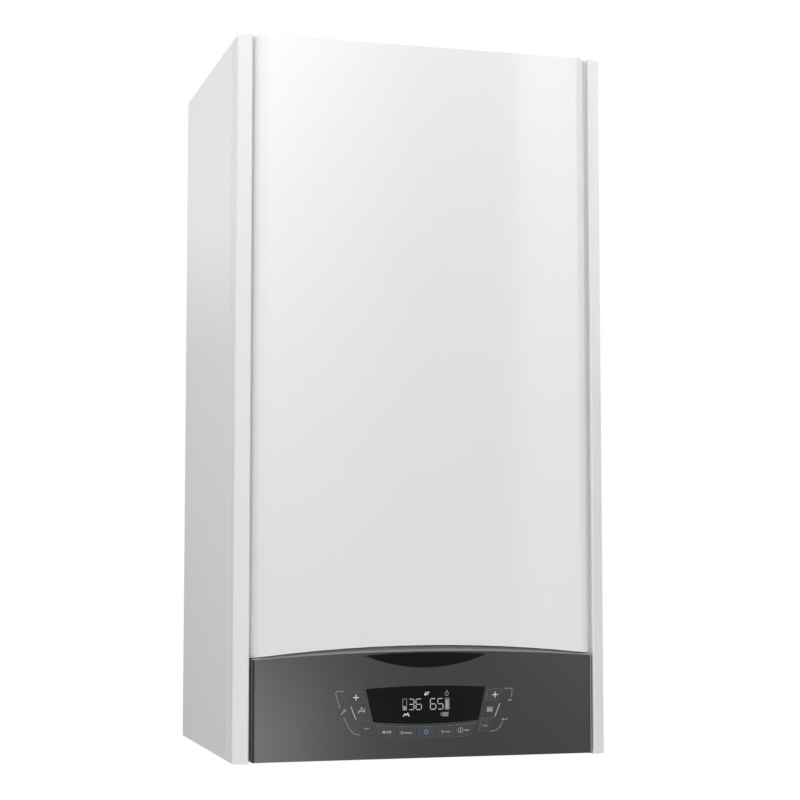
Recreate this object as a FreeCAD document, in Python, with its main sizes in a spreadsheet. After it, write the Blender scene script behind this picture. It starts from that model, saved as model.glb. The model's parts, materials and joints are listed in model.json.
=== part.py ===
import FreeCAD, Part
import math
import os
import Sketcher

# Wall-hung gas boiler, in millimetres.
# X runs to the right and Z up as seen from the front, and Y runs into the wall.
# The origin is on the wall, midway between the two bolts of the wall bracket.
# Depths are measured from the wall towards the room, so a depth d lies at y = -d.
# Levels are measured up from the lower edge of the casing.

SIZES = [
    # Casing
    ("case_width", 400.0, "outer width across both side panels"),
    ("case_depth", 319.0, "wall to the front face"),
    ("case_height", 745.0, "lower edge to upper edge"),
    ("bolt_drop", 55.0, "wall bracket's bolts below the casing's upper edge"),
    ("gauge", 1.0, "thickness of the casing's sheet steel"),
    ("fit", 0.3, "clearance between pieces that are assembled"),
    ("overrun", 2.0, "how far a cut runs past the face that it opens"),
    ("cover_depth", 37.5, "front face to the side panels' front edges"),
    ("side_front_flange", 28.0, "inward flange at a side panel's front edge"),
    ("side_rear_flange", 15.0, "inward flange at a side panel's rear edge"),
    ("side_bend", 2.5, "outer bend radius of a side panel's front edge"),
    ("flange_start", 120.0, "level where the side panels' front flanges begin"),
    ("back_gap", 6.5, "wall to the back panel"),
    ("back_foot", 45.0, "level of the back panel's lower edge"),
    ("back_head", 12.0, "back panel's upper edge below the casing's upper edge"),
    ("rib_width", 14.0, "width of a pressed rib in the back panel"),
    ("rib_rise", 2.0, "depth of a pressed rib in the back panel"),
    ("rib_margin", 20.0, "upright ribs' middle inside the casing's sides"),
    ("rib_foot", 65.0, "upright ribs' lower ends above the back panel's lower edge"),
    ("rib_head", 93.0, "upright ribs' upper ends below the back panel's upper edge"),
    ("cross_rib_end", 60.0, "cross ribs' ends inside the casing's sides"),
    ("window_width", 60.0, "width of a bolt window in the back panel"),
    ("window_height", 40.0, "height of a bolt window in the back panel"),
    ("panel_flange", 14.0, "down-turned edges of the top panel"),
    ("top_front_gap", 2.5, "top panel's front edge behind the side panels' front edge"),
    ("plate_level", 41.5, "upper face of the bottom plate"),
    ("plate_gauge", 1.5, "thickness of the bottom plate and the brackets"),
    ("plate_setback", 129.0, "bottom plate's front edge behind the front face"),
    ("plate_flange", 16.0, "upturned front edge of the bottom plate"),
    ("rail_level", 122.0, "lower edge of the cross rail"),
    ("rail_height", 20.0, "height of the cross rail"),
    ("rail_width", 15.0, "depth of the cross rail's shelf"),
    # Wall bracket
    ("bracket_margin", 40.0, "wall bracket's ends inside the casing's sides"),
    ("bracket_gauge", 2.0, "thickness of the wall bracket"),
    ("bracket_drop", 20.0, "wall bracket's lower edge below its bolts"),
    ("bracket_rise", 22.0, "wall bracket's shelf above its bolts"),
    ("bracket_lip", 14.0, "height of the wall bracket's hooked lip"),
    ("bracket_reach", 6.2, "wall to the front of the hooked lip"),
    ("bolt_inset", 25.0, "bolts inside the wall bracket's ends"),
    ("bolt_hole", 5.0, "radius of a bolt hole"),
    ("tongue_inset", 10.0, "hanging tongue's ends inside the wall bracket's ends"),
    # Flue
    ("flue_setback", 169.0, "flue's axis behind the front face"),
    ("flue_bore", 30.3, "inner radius of the flue socket"),
    ("flue_wall", 2.7, "wall of the flue duct"),
    ("flue_neck", 27.0, "inner radius of the flue duct below its socket"),
    ("flue_rise", 20.0, "flue duct's upper end above the casing"),
    ("socket_length", 50.0, "length of the flue socket"),
    ("collar_radius", 50.0, "outer radius of the air collar"),
    ("collar_wall", 3.0, "wall of the air collar"),
    ("collar_height", 25.0, "height of the air collar"),
    ("collar_flange", 16.0, "flange of the air collar beyond its wall"),
    ("collar_lead", 1.2, "chamfer at the air collar's mouth"),
    ("collar_screw", 4.0, "radius of a collar screw's head"),
    ("screw_head", 2.5, "height of a collar screw's head"),
    ("plug_radius", 6.5, "radius of a test plug"),
    ("plug_height", 6.0, "height of a test plug"),
    # Expansion vessel
    ("vessel_radius", 160.0, "radius of the expansion vessel"),
    ("vessel_setback", 241.5, "expansion vessel's front behind the front face"),
    ("vessel_drop", 275.0, "expansion vessel's axis below the casing's upper edge"),
    ("vessel_wall", 1.5, "wall of the expansion vessel"),
    ("seam_height", 5.0, "height of the expansion vessel's seam"),
    ("seam_width", 8.0, "width of the expansion vessel's seam"),
    # Heat exchanger
    ("shell_radius", 112.0, "outer radius of the exchanger shell"),
    ("shell_length", 125.0, "length of the exchanger shell"),
    ("shell_wall", 3.0, "wall of the exchanger shell"),
    ("shell_drop", 175.0, "exchanger shell's axis below the casing's upper edge"),
    ("shell_gap", 12.0, "room between expansion vessel and exchanger shell"),
    ("shell_flange", 8.0, "front flange of the exchanger shell"),
    ("flange_gauge", 4.0, "thickness of the exchanger shell's flange"),
    ("bead_height", 3.0, "height of a stiffening bead on the shell"),
    ("bead_width", 10.0, "width of a stiffening bead on the shell"),
    ("post_radius", 8.0, "radius of a post that carries the exchanger"),
    ("post_spread", 80.0, "distance of a post from the middle"),
    ("post_rise", 70.0, "height of the posts above the exchanger's axis"),
    ("nozzle_radius", 11.0, "outer radius of the exchanger's water nozzles"),
    ("nozzle_spread", 60.0, "distance of a water nozzle from the middle"),
    ("nozzle_drop", 110.0, "end of the lower nozzles below the exchanger's axis"),
    ("nozzle_wall", 2.0, "wall of a nozzle"),
    ("flue_nozzle_rise", 120.0, "end of the flue nozzle above the exchanger's axis"),
    ("trap_gap", 3.0, "room between the condensate trap and the gas stub"),
    ("drain_radius", 10.0, "outer radius of the drain nozzle"),
    ("door_gauge", 8.0, "thickness of the burner door"),
    ("door_dish", 3.0, "raised rim of the burner door"),
    ("rim_width", 14.0, "width of the burner door's rim"),
    ("door_rib", 6.0, "width of a rib on the burner door"),
    ("door_port", 28.0, "radius of the burner door's inlet"),
    ("nut_radius", 5.5, "half width across a door nut's corners"),
    ("nut_height", 5.0, "height of a door nut"),
    ("stud_radius", 2.5, "radius of a stud's end in a door nut"),
    ("stud_height", 3.0, "stud's end above its nut"),
    ("electrode_spread", 70.0, "electrodes' distance from the middle"),
    ("electrode_drop", 30.0, "electrodes' level below the exchanger's axis"),
    ("electrode_pitch", 16.0, "distance between the two electrodes"),
    ("ceramic_radius", 4.0, "radius of an electrode's ceramic"),
    ("ceramic_length", 20.0, "electrode's ceramic in front of the door"),
    ("pin_radius", 1.5, "radius of an electrode's pin"),
    ("pin_length", 40.0, "electrode's pin behind the door"),
    # Fan, mixer and gas
    ("manifold_depth", 38.0, "thickness of the mixer manifold"),
    ("manifold_half", 30.0, "half width of the mixer manifold"),
    ("manifold_lap", 9.0, "mixer manifold's lower edge below the burner door"),
    ("fan_setback", 16.0, "fan's middle behind the burner door's face"),
    ("fan_depth", 44.0, "thickness of the fan housing"),
    ("fan_wall", 3.0, "wall of the fan housing"),
    ("volute_start", 50.0, "radius of the volute at its tongue"),
    ("volute_end", 64.0, "radius of the volute at its outlet"),
    ("outlet_width", 40.0, "width of the fan's outlet"),
    ("outlet_rise", 70.0, "fan's outlet above its axis"),
    ("outlet_flange", 8.0, "flange round the fan's outlet"),
    ("outlet_drop", 32.0, "height of the manifold's foot"),
    ("fan_inlet", 26.0, "radius of the fan's inlet"),
    ("fan_screw", 3.0, "radius of a screw's head on the fan housing"),
    ("fan_screw_height", 2.0, "height of a screw's head on the fan housing"),
    ("fan_screw_ring", 42.0, "distance of the fan housing's screws from its axis"),
    ("impeller_radius", 44.0, "radius of the impeller"),
    ("impeller_gap", 4.0, "room between impeller and housing"),
    ("impeller_eye", 22.0, "radius where the impeller's blades begin"),
    ("impeller_plate", 2.0, "thickness of the impeller's discs"),
    ("blade_gauge", 1.6, "thickness of an impeller blade"),
    ("hub_radius", 9.0, "radius of the impeller's hub"),
    ("shaft_radius", 4.0, "radius of the fan's shaft"),
    ("shaft_fit", 0.05, "running clearance of the fan's shaft"),
    ("motor_radius", 38.0, "radius of the fan's motor"),
    ("motor_length", 30.0, "length of the fan's motor"),
    ("motor_round", 5.0, "rounded rear edge of the fan's motor"),
    ("venturi_radius", 33.0, "outer radius of the venturi"),
    ("venturi_waist", 25.0, "outer radius of the venturi's waist"),
    ("venturi_length", 46.0, "length of the venturi"),
    ("venturi_lip", 6.0, "width of a venturi flange"),
    ("silencer_radius", 20.0, "outer radius of the air silencer"),
    ("silencer_wall", 2.0, "wall of the air silencer"),
    ("silencer_reach", 100.0, "air silencer's upright part left of the fan's axis"),
    ("silencer_rise", 190.0, "air silencer's mouth above the fan's axis"),
    ("silencer_bend", 28.0, "bend radius of the air silencer"),
    ("fan_offset", 58.0, "fan's axis left of the middle"),
    ("valve_width", 66.0, "width of the gas valve"),
    ("valve_height", 92.0, "height of the gas valve"),
    ("valve_depth", 40.0, "depth of the gas valve"),
    ("valve_offset", 92.0, "gas valve's middle right of the middle"),
    ("valve_rise", 2.0, "gas valve's middle above the fan's axis"),
    ("valve_round", 6.0, "rounding of the gas valve's edges"),
    ("coil_radius", 15.0, "radius of a gas valve's coil"),
    ("coil_height", 12.0, "height of a gas valve's coil"),
    ("valve_screw", 2.5, "radius of a screw's head on the gas valve"),
    ("valve_screw_height", 2.0, "height of a screw's head on the gas valve"),
    ("valve_screw_inset", 8.0, "gas valve's screws inside its edges"),
    ("valve_plug_width", 30.0, "width of the plug on the gas valve"),
    ("valve_plug_height", 14.0, "height of the plug on the gas valve"),
    ("valve_plug_depth", 20.0, "depth of the plug on the gas valve"),
    ("gas_pipe_radius", 9.0, "outer radius of the gas pipes"),
    ("pipe_wall", 1.0, "wall of the pipes"),
    ("gas_bend", 20.0, "bend radius of the gas pipes"),
    ("gas_turn_drop", 42.0, "gas pipe's run forwards below the gas valve"),
    # Water side
    ("stub_pitch", 65.0, "distance between the service stubs"),
    ("stub_setback", 199.0, "service stubs' axes behind the front face"),
    ("stub_foot", 10.0, "level of the service stubs' lower ends"),
    ("stub_head", 70.0, "level of the service stubs' upper ends"),
    ("wide_stub", 13.2, "outer radius of the heating and gas stubs"),
    ("narrow_stub", 10.45, "outer radius of the tap water stubs"),
    ("stub_wall", 2.2, "wall of the service stubs"),
    ("stub_hex", 17.0, "half width across the corners of a stub's hexagon"),
    ("hex_height", 14.0, "height of a stub's hexagon"),
    ("lock_nut", 5.0, "height of a nut under the bottom plate"),
    ("group_height", 60.0, "height of the flow and return groups"),
    ("group_depth", 40.0, "depth of the flow and return groups"),
    ("group_margin", 20.0, "flow and return groups beyond their outer stubs"),
    ("group_round", 6.0, "rounding of the groups' upright edges"),
    ("barrel_radius", 17.0, "radius of the flow group's barrel"),
    ("barrel_height", 70.0, "height of the flow group's barrel"),
    ("union_hex", 21.0, "half width across the corners of a heating pipe's union"),
    ("union_height", 12.0, "height of a heating pipe's union"),
    ("pipe_radius", 9.0, "outer radius of the heating pipes"),
    ("pump_offset", 105.0, "pump's axis right of the middle"),
    ("pump_level", 195.0, "level of the pump's axis"),
    ("pump_radius", 44.0, "radius of the pump's volute"),
    ("pump_depth", 46.0, "thickness of the pump's volute"),
    ("pump_neck", 16.0, "radius of the pump's necks"),
    ("pump_rise", 58.0, "pump's outlet above its axis"),
    ("pump_motor_radius", 40.0, "radius of the pump's motor"),
    ("pump_motor_length", 68.0, "length of the pump's motor"),
    ("pump_rib", 2.2, "thickness of a rib on the pump's motor"),
    ("pump_rib_height", 3.0, "height of a rib on the pump's motor"),
    ("knurl_radius", 11.0, "radius of the plug in the pump's nose"),
    ("knurl_height", 4.0, "height of the plug in the pump's nose"),
    ("stack_height", 76.0, "height of the plate exchanger"),
    ("stack_groove", 2.0, "depth of the grooves between the plates"),
    ("stack_margin", 26.0, "plate exchanger's ends inside the groups' outer ends"),
    ("diverter_width", 48.0, "width of the diverter motor"),
    ("diverter_height", 66.0, "height of the diverter motor"),
    ("diverter_depth", 48.0, "depth of the diverter motor"),
    ("diverter_round", 7.0, "rounding of the diverter motor"),
    ("drive_plug_width", 20.0, "width of the plug on the diverter motor"),
    ("drive_plug_height", 12.0, "height of the plug on the diverter motor"),
    ("drive_plug_length", 8.0, "length of the plug on the diverter motor"),
    ("tap_radius", 12.0, "radius of the relief valve's and filling tap's bodies"),
    ("tap_length", 26.0, "length of the relief valve's and filling tap's bodies"),
    ("tap_stem", 5.0, "radius of the stem that carries a knob"),
    ("relief_offset", 132.0, "relief valve's axis right of the middle"),
    ("fill_offset", 66.0, "filling tap's axis right of the middle"),
    ("knob_radius", 15.0, "radius of the knobs"),
    ("knob_length", 16.0, "length of the knobs"),
    ("knob_wall", 3.0, "front wall of the knobs"),
    ("knob_groove", 3.0, "radius of a finger groove in a knob"),
    ("vessel_pipe_radius", 5.0, "outer radius of the vessel's pipe"),
    ("vessel_pipe_offset", 36.0, "vessel's pipe right of the middle"),
    ("vessel_pipe_drop", 120.0, "vessel's pipe below the vessel's axis"),
    ("vessel_pipe_bend", 16.0, "bend radius of the vessel's pipe"),
    ("trap_radius", 22.0, "radius of the condensate trap"),
    ("trap_height", 160.0, "height of the condensate trap"),
    ("trap_neck", 14.0, "radius of the condensate trap's neck"),
    ("trap_cap", 10.0, "height of the condensate trap's cap and neck"),
    ("trap_spigot", 12.0, "radius of the condensate outlet"),
    ("trap_nut", 17.0, "radius of the condensate trap's nut under the bottom plate"),
    ("trap_foot", 12.0, "level of the condensate outlet's end"),
    ("spigot_wall", 2.0, "wall of the condensate outlet"),
    ("hose_radius", 9.0, "radius of the condensate hose in its grooves"),
    ("hose_rib", 2.0, "height of a rib of the condensate hose"),
    ("hose_wall", 1.5, "wall of the condensate hose"),
    ("hose_cuff", 14.0, "plain end of the condensate hose"),
    ("rib_pitch", 6.0, "distance between the condensate hose's ribs"),
    # Front cover
    ("stile_width", 15.4, "front face of a stile"),
    ("stile_setback", 10.0, "stile's outer corner behind the front face"),
    ("stile_inset", 0.8, "stile's inner corner behind the front face"),
    ("stile_wall", 2.0, "wall of a stile"),
    ("stile_joint", 0.8, "gap between a side panel and a stile"),
    ("stile_outer_round", 5.0, "rounding of a stile's outer corner"),
    ("stile_inner_round", 1.8, "rounding of a stile's inner corner"),
    ("stile_cap", 2.0, "thickness of a stile's end caps"),
    ("groove_width", 1.2, "gap between a stile and the front panel"),
    ("groove_depth", 11.0, "depth of that gap"),
    ("groove_floor", 3.0, "thickness of that gap's floor"),
    ("panel_return", 29.0, "depth of the front panel's edges"),
    ("panel_round", 14.0, "rounding of the front panel's upright edges"),
    ("panel_hem", 12.0, "inward hem behind the front panel's edges"),
    ("seal_width", 9.0, "width of the cover's seal"),
    ("seal_inset", 2.0, "cover's seal inside the front panel's edges"),
    ("cover_stud", 3.0, "radius of a locating stud"),
    ("stud_fit", 0.4, "clearance round a locating stud"),
    ("stud_length", 16.0, "locating stud behind the front panel"),
    ("stud_tip", 1.0, "chamfer at a locating stud's tip"),
    ("stud_inset", 16.5, "locating stud's axis inside the side panel"),
    ("upper_stud_drop", 45.0, "upper locating studs below the casing's upper edge"),
    ("lower_stud_level", 170.0, "level of the lower locating studs"),
    # Control box
    ("fascia_gap", 1.5, "gap between a stile and the fascia"),
    ("fascia_foot", 1.5, "level of the fascia's lower edge"),
    ("fascia_shoulder", 104.8, "level of the fascia's upper corners"),
    ("fascia_crest", 115.7, "level of the fascia's arched top in the middle"),
    ("cover_gap", 0.8, "gap between the fascia and the front panel"),
    ("fascia_depth", 14.0, "depth of the fascia's edges"),
    ("fascia_front", 3.0, "front wall of the fascia"),
    ("fascia_wall", 2.5, "edges of the fascia"),
    ("bevel_height", 5.4, "height of the fascia's bevel in the middle"),
    ("bevel_end", 1.2, "height of the fascia's bevel at its ends"),
    ("bevel_depth", 7.0, "depth of the fascia's bevel in the middle"),
    ("fascia_round", 2.0, "rounding of the fascia's lower corners"),
    ("fascia_side_round", 4.0, "rounding of the fascia's upright front edges"),
    ("window_shoulder", 72.4, "level of the display window's upper corners"),
    ("window_crest", 74.7, "level of the display window's upper edge in the middle"),
    ("window_foot", 39.3, "level of the display window's lower corners"),
    ("window_sag", 36.5, "level of the display window's lower edge in the middle"),
    ("window_head_half", 64.0, "half width of the display window's upper edge"),
    ("window_foot_half", 56.2, "half width of the display window's lower edge"),
    ("window_recess", 0.2, "display window behind the fascia's face"),
    ("window_lap", 1.1, "display window's flange behind the fascia"),
    ("window_flange", 1.5, "thickness of the display window's flange"),
    ("badge_half", 64.0, "half width of the badge plate"),
    ("badge_tip", 106.4, "level of the badge plate's tips"),
    ("badge_crest", 108.9, "level of the badge plate's upper edge in the middle"),
    ("badge_sag", 93.7, "level of the badge plate's lower edge in the middle"),
    ("badge_blunt", 0.6, "height of the badge plate's blunt tips"),
    ("badge_gauge", 1.2, "thickness of the badge plate"),
    ("badge_fit", 0.15, "clearance round the badge plate"),
    ("key_fit", 0.35, "clearance round the keys"),
    ("key_proud", 0.4, "keys in front of the fascia"),
    ("key_lap", 0.8, "flange of a key behind the fascia"),
    ("key_flange", 1.0, "thickness of a key's flange"),
    ("key_edge", 0.3, "chamfer round a key's face"),
    ("key_inner_gap", 3.2, "gap between the display window and the side keys"),
    ("plus_key_head", 70.5, "level of the plus keys' upper edge"),
    ("plus_key_foot", 57.8, "level of the plus keys' lower edge"),
    ("plus_key_head_width", 16.0, "width of the plus keys' upper edge"),
    ("plus_key_foot_width", 14.3, "width of the plus keys' lower edge"),
    ("minus_key_head", 41.0, "level of the minus keys' upper edge"),
    ("minus_key_foot", 27.3, "level of the minus keys' lower edge"),
    ("minus_key_head_width", 13.8, "width of the minus keys' upper edge"),
    ("minus_key_foot_width", 9.8, "width of the minus keys' lower edge"),
    ("strip_gap", 3.0, "gap between the display window and the key strip"),
    ("strip_head_half", 53.4, "half width of the key strip's upper edge"),
    ("strip_foot_half", 49.0, "half width of the key strip's lower edge"),
    ("strip_foot", 22.5, "level of the key strip's lower corners"),
    ("strip_sag", 21.5, "level of the key strip's lower edge in the middle"),
    ("strip_pitch", 20.8, "distance between the keys of the strip"),
    ("board_half", 100.0, "half width of the circuit board"),
    ("board_foot", 16.0, "level of the circuit board's lower edge"),
    ("board_head", 96.0, "level of the circuit board's upper edge"),
    ("board_gauge", 1.6, "thickness of the circuit board"),
    ("board_gap", 5.0, "circuit board behind the fascia's front wall"),
    ("boss_radius", 3.0, "radius of the bosses that carry the circuit board"),
    ("boss_inset", 5.0, "bosses inside the circuit board's edges"),
    ("housing_inset", 13.5, "control box's sides inside the fascia's sides"),
    ("housing_depth", 60.0, "depth of the control box behind the fascia"),
    ("housing_foot", 4.0, "level of the control box's underside"),
    ("housing_head", 88.0, "level of the control box's upper side"),
    ("housing_wall", 2.5, "wall of the control box"),
    ("housing_round", 6.0, "rounding of the control box's long edges"),
    ("rim_gauge", 2.0, "thickness of the control box's front rim"),
    ("rim_head", 94.0, "level of the front rim's upper edge"),
    ("lid_gauge", 1.8, "thickness of the control box's rear cover"),
    ("lid_lip", 4.0, "depth of the rear cover's lip"),
    ("slot_width", 50.0, "length of a cooling slot in the rear cover"),
    ("slot_height", 4.0, "height of a cooling slot in the rear cover"),
    ("slot_pitch", 9.0, "distance between the cooling slots"),
    ("gland_radius", 9.0, "radius of the cable inlet"),
    ("gland_length", 8.0, "length of the cable inlet"),
    ("gland_bore", 5.0, "inner radius of the cable inlet"),
    ("hinge_setback", 29.0, "hinge's axis behind the front face"),
    ("hinge_level", 14.0, "level of the hinge's axis"),
    ("hinge_pin", 4.0, "radius of a hinge pin"),
    ("hinge_fit", 0.05, "running clearance of a hinge pin"),
    ("hinge_gap", 4.0, "gap between the control box and a hinge arm"),
    ("arm_gauge", 3.0, "thickness of a hinge arm"),
    ("arm_reach", 8.0, "hinge arm beyond the hinge's axis"),
    ("arm_back", 50.0, "hinge arm behind the hinge's axis"),
    ("arm_height", 22.0, "height of a hinge arm"),
    ("leg_length", 26.0, "foot of a hinge arm on its side panel"),
    ("arm_round", 6.0, "rounding of a hinge arm's front corners"),
]

# Counts and shares
IMPELLER_BLADES = 11
DOOR_NUTS = 6
COLLAR_SCREWS = 4
DOOR_RIBS = 6
FAN_SCREWS = 4
PUMP_RIBS = 18
KNOB_GROOVES = 8
COOLING_SLOTS = 5
STACK_GROOVES = 9
STRIP_KEYS = ("service", "clock", "power", "mode", "info")
BLADE_LAG = 38.0
BLADE_BOW_SHARE = 0.35
BEAD_SHARES = (0.3, 0.68)
COIL_SHARES = (-0.27, 0.27)
TRAP_SHARES = (0.25, 0.55, 0.85)
RIB_SHARES = (0.0, 0.25, 0.5, 0.75)
GLAND_SHARE = 0.5
CROSS_RIB_SHARES = (0.28, 0.62)
TURN_START_SHARE = 0.16
TURN_END_SHARE = 0.46
PIPE_BEND_SHARE = 0.15
STACK_DEPTH_SHARE = 0.5
VESSEL_ROUND_SHARE = 0.34
FIRST_SLOT_SHARE = 1.5
KNEE_SHARE = 1 - math.sqrt(0.5)
VOLUTE_ARCS = 4
FIRST_SCREW_TURN = 45.0

doc = FreeCAD.newDocument("gas_boiler")
sheet = doc.addObject("Spreadsheet::Sheet", "dims")
for row, (alias, size, meaning) in enumerate(SIZES, start=1):
    sheet.set(f"A{row}", alias)
    sheet.set(f"B{row}", str(size))
    sheet.set(f"C{row}", meaning)
    sheet.setAlias(f"B{row}", alias)
doc.recompute()


class Size:
    """A length together with the formula that ties it to the sheet."""

    def __init__(self, value, formula):
        self.value = value
        self.formula = formula

    def __add__(self, other):
        other = as_size(other)
        return Size(self.value + other.value, f"({self.formula} + {other.formula})")

    def __sub__(self, other):
        other = as_size(other)
        return Size(self.value - other.value, f"({self.formula} - {other.formula})")

    def __mul__(self, other):
        other = as_size(other)
        return Size(self.value * other.value, f"({self.formula} * {other.formula})")

    def __truediv__(self, other):
        other = as_size(other)
        return Size(self.value / other.value, f"({self.formula} / {other.formula})")

    def __radd__(self, other):
        return as_size(other) + self

    def __rsub__(self, other):
        return as_size(other) - self

    def __rmul__(self, other):
        return as_size(other) * self

    def __neg__(self):
        return as_size(0) - self


def as_size(number):
    """A plain number as a Size with a constant formula."""
    if isinstance(number, Size):
        return number
    return Size(float(number), f"({float(number):.9f})")


def root(size):
    """The square root of a Size."""
    return Size(math.sqrt(size.value), f"sqrt({size.formula})")


class Dimensions:
    """The sheet's cells, by alias, as Sizes."""

    def __getattr__(self, alias):
        return Size(float(getattr(sheet, alias)), f"dims.{alias}")


dim = Dimensions()
ORIGIN_PLANES = {"XY": "XY_Plane", "XZ": "XZ_Plane", "YZ": "YZ_Plane"}
X_AXIS = FreeCAD.Vector(1, 0, 0)
Y_AXIS = FreeCAD.Vector(0, 1, 0)
Z_AXIS = FreeCAD.Vector(0, 0, 1)
TURNS = {"X": (Y_AXIS, 90), "Y": (X_AXIS, 90), "Z": (Z_AXIS, 0)}
parts = []


def part(item, label):
    """Enter a finished sub-part under its node name."""
    item.Label = label
    parts.append(item)
    return item


def bind(item, prop, size):
    """Tie one property to the sheet."""
    item.setExpression(prop, as_size(size).formula)


def place(item, x=0, y=0, z=0, axis="Z"):
    """Turn an object's Z axis to X, to the front (Y) or leave it, and move it to a point."""
    turn_axis, angle = TURNS[axis]
    item.Placement = FreeCAD.Placement(FreeCAD.Vector(), FreeCAD.Rotation(turn_axis, angle))
    for letter, size in (("x", x), ("y", y), ("z", z)):
        bind(item, f"Placement.Base.{letter}", size)
    return item


def box(name, x_span, depth_span, z_span):
    """A box between two x, two depths and two z."""
    item = doc.addObject("Part::Box", name)
    bind(item, "Length", x_span[1] - x_span[0])
    bind(item, "Width", depth_span[1] - depth_span[0])
    bind(item, "Height", z_span[1] - z_span[0])
    return place(item, x_span[0], -as_size(depth_span[1]), z_span[0])


def rod(name, radius, length, x, depth, z, axis="Z"):
    """A cylinder from a point along X, up Z or towards the front."""
    item = doc.addObject("Part::Cylinder", name)
    bind(item, "Radius", radius)
    bind(item, "Height", length)
    return place(item, x, -as_size(depth), z, axis)


def hexagon(name, circumradius, height, x, depth, z, axis="Z"):
    """A hexagonal prism from a point up Z or towards the front."""
    item = doc.addObject("Part::Prism", name)
    item.Polygon = 6
    bind(item, "Circumradius", circumradius)
    bind(item, "Height", height)
    return place(item, x, -as_size(depth), z, axis)


def fuse(name, *pieces):
    """One solid from several that touch."""
    item = doc.addObject("Part::MultiFuse", name)
    item.Shapes = list(pieces)
    item.Refine = True
    return item


def cut(name, base, *tools):
    """A solid less one or more others."""
    item = doc.addObject("Part::Cut", name)
    item.Base = base
    item.Tool = tools[0] if len(tools) == 1 else fuse(f"{name}_tools", *tools)
    item.Refine = True
    return item


def common(name, first, second):
    """What two solids share."""
    item = doc.addObject("Part::Common", name)
    item.Base = first
    item.Tool = second
    item.Refine = True
    return item


def group(name, *pieces):
    """Separate solids in one node."""
    item = doc.addObject("Part::Compound", name)
    item.Links = list(pieces)
    return item


def sketch(body, name, plane, offset):
    """An empty sketch on one of the body's own origin planes, moved along the plane's normal."""
    item = body.newObject("Sketcher::SketchObject", name)
    support = [o for o in body.Origin.OriginFeatures if o.Role == ORIGIN_PLANES[plane]]
    item.AttachmentSupport = [(support[0], "")]
    item.MapMode = "FlatFace"
    bind(item, "AttachmentOffset.Base.z", offset)
    return item


def point_of(geometry, place_uv):
    """Which end of an edge lies at a place: 1 for its start, 2 for its end."""
    start = geometry.StartPoint - place_uv
    end = geometry.EndPoint - place_uv
    return 1 if start.Length < end.Length else 2


def held(index, end, u, v):
    """The two constraints that hold a sketch point at two Sizes from the sketch's origin."""
    return [
        (Sketcher.Constraint("DistanceX", -1, 1, index, end, u.value), u),
        (Sketcher.Constraint("DistanceY", -1, 1, index, end, v.value), v),
    ]


def constrain(item, rules):
    """Add constraints all at once, and tie those that have a Size to the sheet."""
    numbers = item.addConstraint([constraint for constraint, size in rules])
    for number, (constraint, size) in zip(numbers, rules):
        if size is not None:
            bind(item, f"Constraints[{number}]", size)


def draw(item, corners):
    """A closed outline: a corner is (u, v), or (u, v, via_u, via_v) where an arc starts."""
    corners = [tuple(as_size(size) for size in corner) for corner in corners]
    places = [FreeCAD.Vector(c[0].value, c[1].value, 0) for c in corners]
    edges = []
    rules = []
    for number, corner in enumerate(corners):
        start = places[number]
        end = places[(number + 1) % len(corners)]
        if len(corner) == 4:
            via = FreeCAD.Vector(corner[2].value, corner[3].value, 0)
            if (via - start).cross(end - via).z < 0:
                start, end = end, start
            arc = item.addGeometry(Part.Arc(start, via, end))
            mark = item.addGeometry(Part.Point(via), True)
            rules.append((Sketcher.Constraint("PointOnObject", mark, 1, arc), None))
            rules += held(mark, 1, corner[2], corner[3])
            edges.append(arc)
        else:
            edges.append(item.addGeometry(Part.LineSegment(start, end)))
    for number, corner in enumerate(corners):
        here = edges[number]
        before = edges[number - 1]
        here_end = point_of(item.Geometry[here], places[number])
        before_end = point_of(item.Geometry[before], places[number])
        rules.append((Sketcher.Constraint("Coincident", before, before_end, here, here_end), None))
        rules += held(here, here_end, corner[0], corner[1])
    constrain(item, rules)


def draw_circle(item, u, v, radius):
    """A circle with its centre and radius tied to the sheet."""
    u, v, radius = as_size(u), as_size(v), as_size(radius)
    circle = Part.Circle(FreeCAD.Vector(u.value, v.value, 0), Z_AXIS, radius.value)
    index = item.addGeometry(circle)
    round_rule = (Sketcher.Constraint("Radius", index, radius.value), radius)
    constrain(item, held(index, 3, u, v) + [round_rule])


def fill_sketch(item, shapes):
    """Draw outlines (lists of corners) and circles (tuples of u, v, radius)."""
    for shape in shapes:
        if isinstance(shape, list):
            draw(item, shape)
        else:
            draw_circle(item, *shape)


def new_body(name):
    """An empty body."""
    return doc.addObject("PartDesign::Body", name)


def pad(body, plane, shapes, start, end):
    """Extrude outlines from one offset of a plane to another; on XZ the offsets are depths."""
    count = len(body.Group)
    drawing = sketch(body, f"{body.Name}_sketch{count}", plane, start)
    fill_sketch(drawing, shapes)
    feature = body.newObject("PartDesign::Pad", f"{body.Name}_pad{count}")
    feature.Profile = drawing
    bind(feature, "Length", end - start)
    doc.recompute()
    return feature


def pocket(body, plane, shapes, start, end):
    """Cut outlines out between two offsets of a plane, and make sure that something was cut."""
    count = len(body.Group)
    before = body.Shape.Volume
    drawing = sketch(body, f"{body.Name}_sketch{count}", plane, end)
    fill_sketch(drawing, shapes)
    feature = body.newObject("PartDesign::Pocket", f"{body.Name}_pocket{count}")
    feature.Profile = drawing
    bind(feature, "Length", end - start)
    doc.recompute()
    if body.Shape.Volume >= before:
        raise RuntimeError(f"{feature.Name} cut nothing")
    return feature


def prism(name, plane, shapes, start, end):
    """A body made by one pad."""
    body = new_body(name)
    pad(body, plane, shapes, start, end)
    return body


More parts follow.
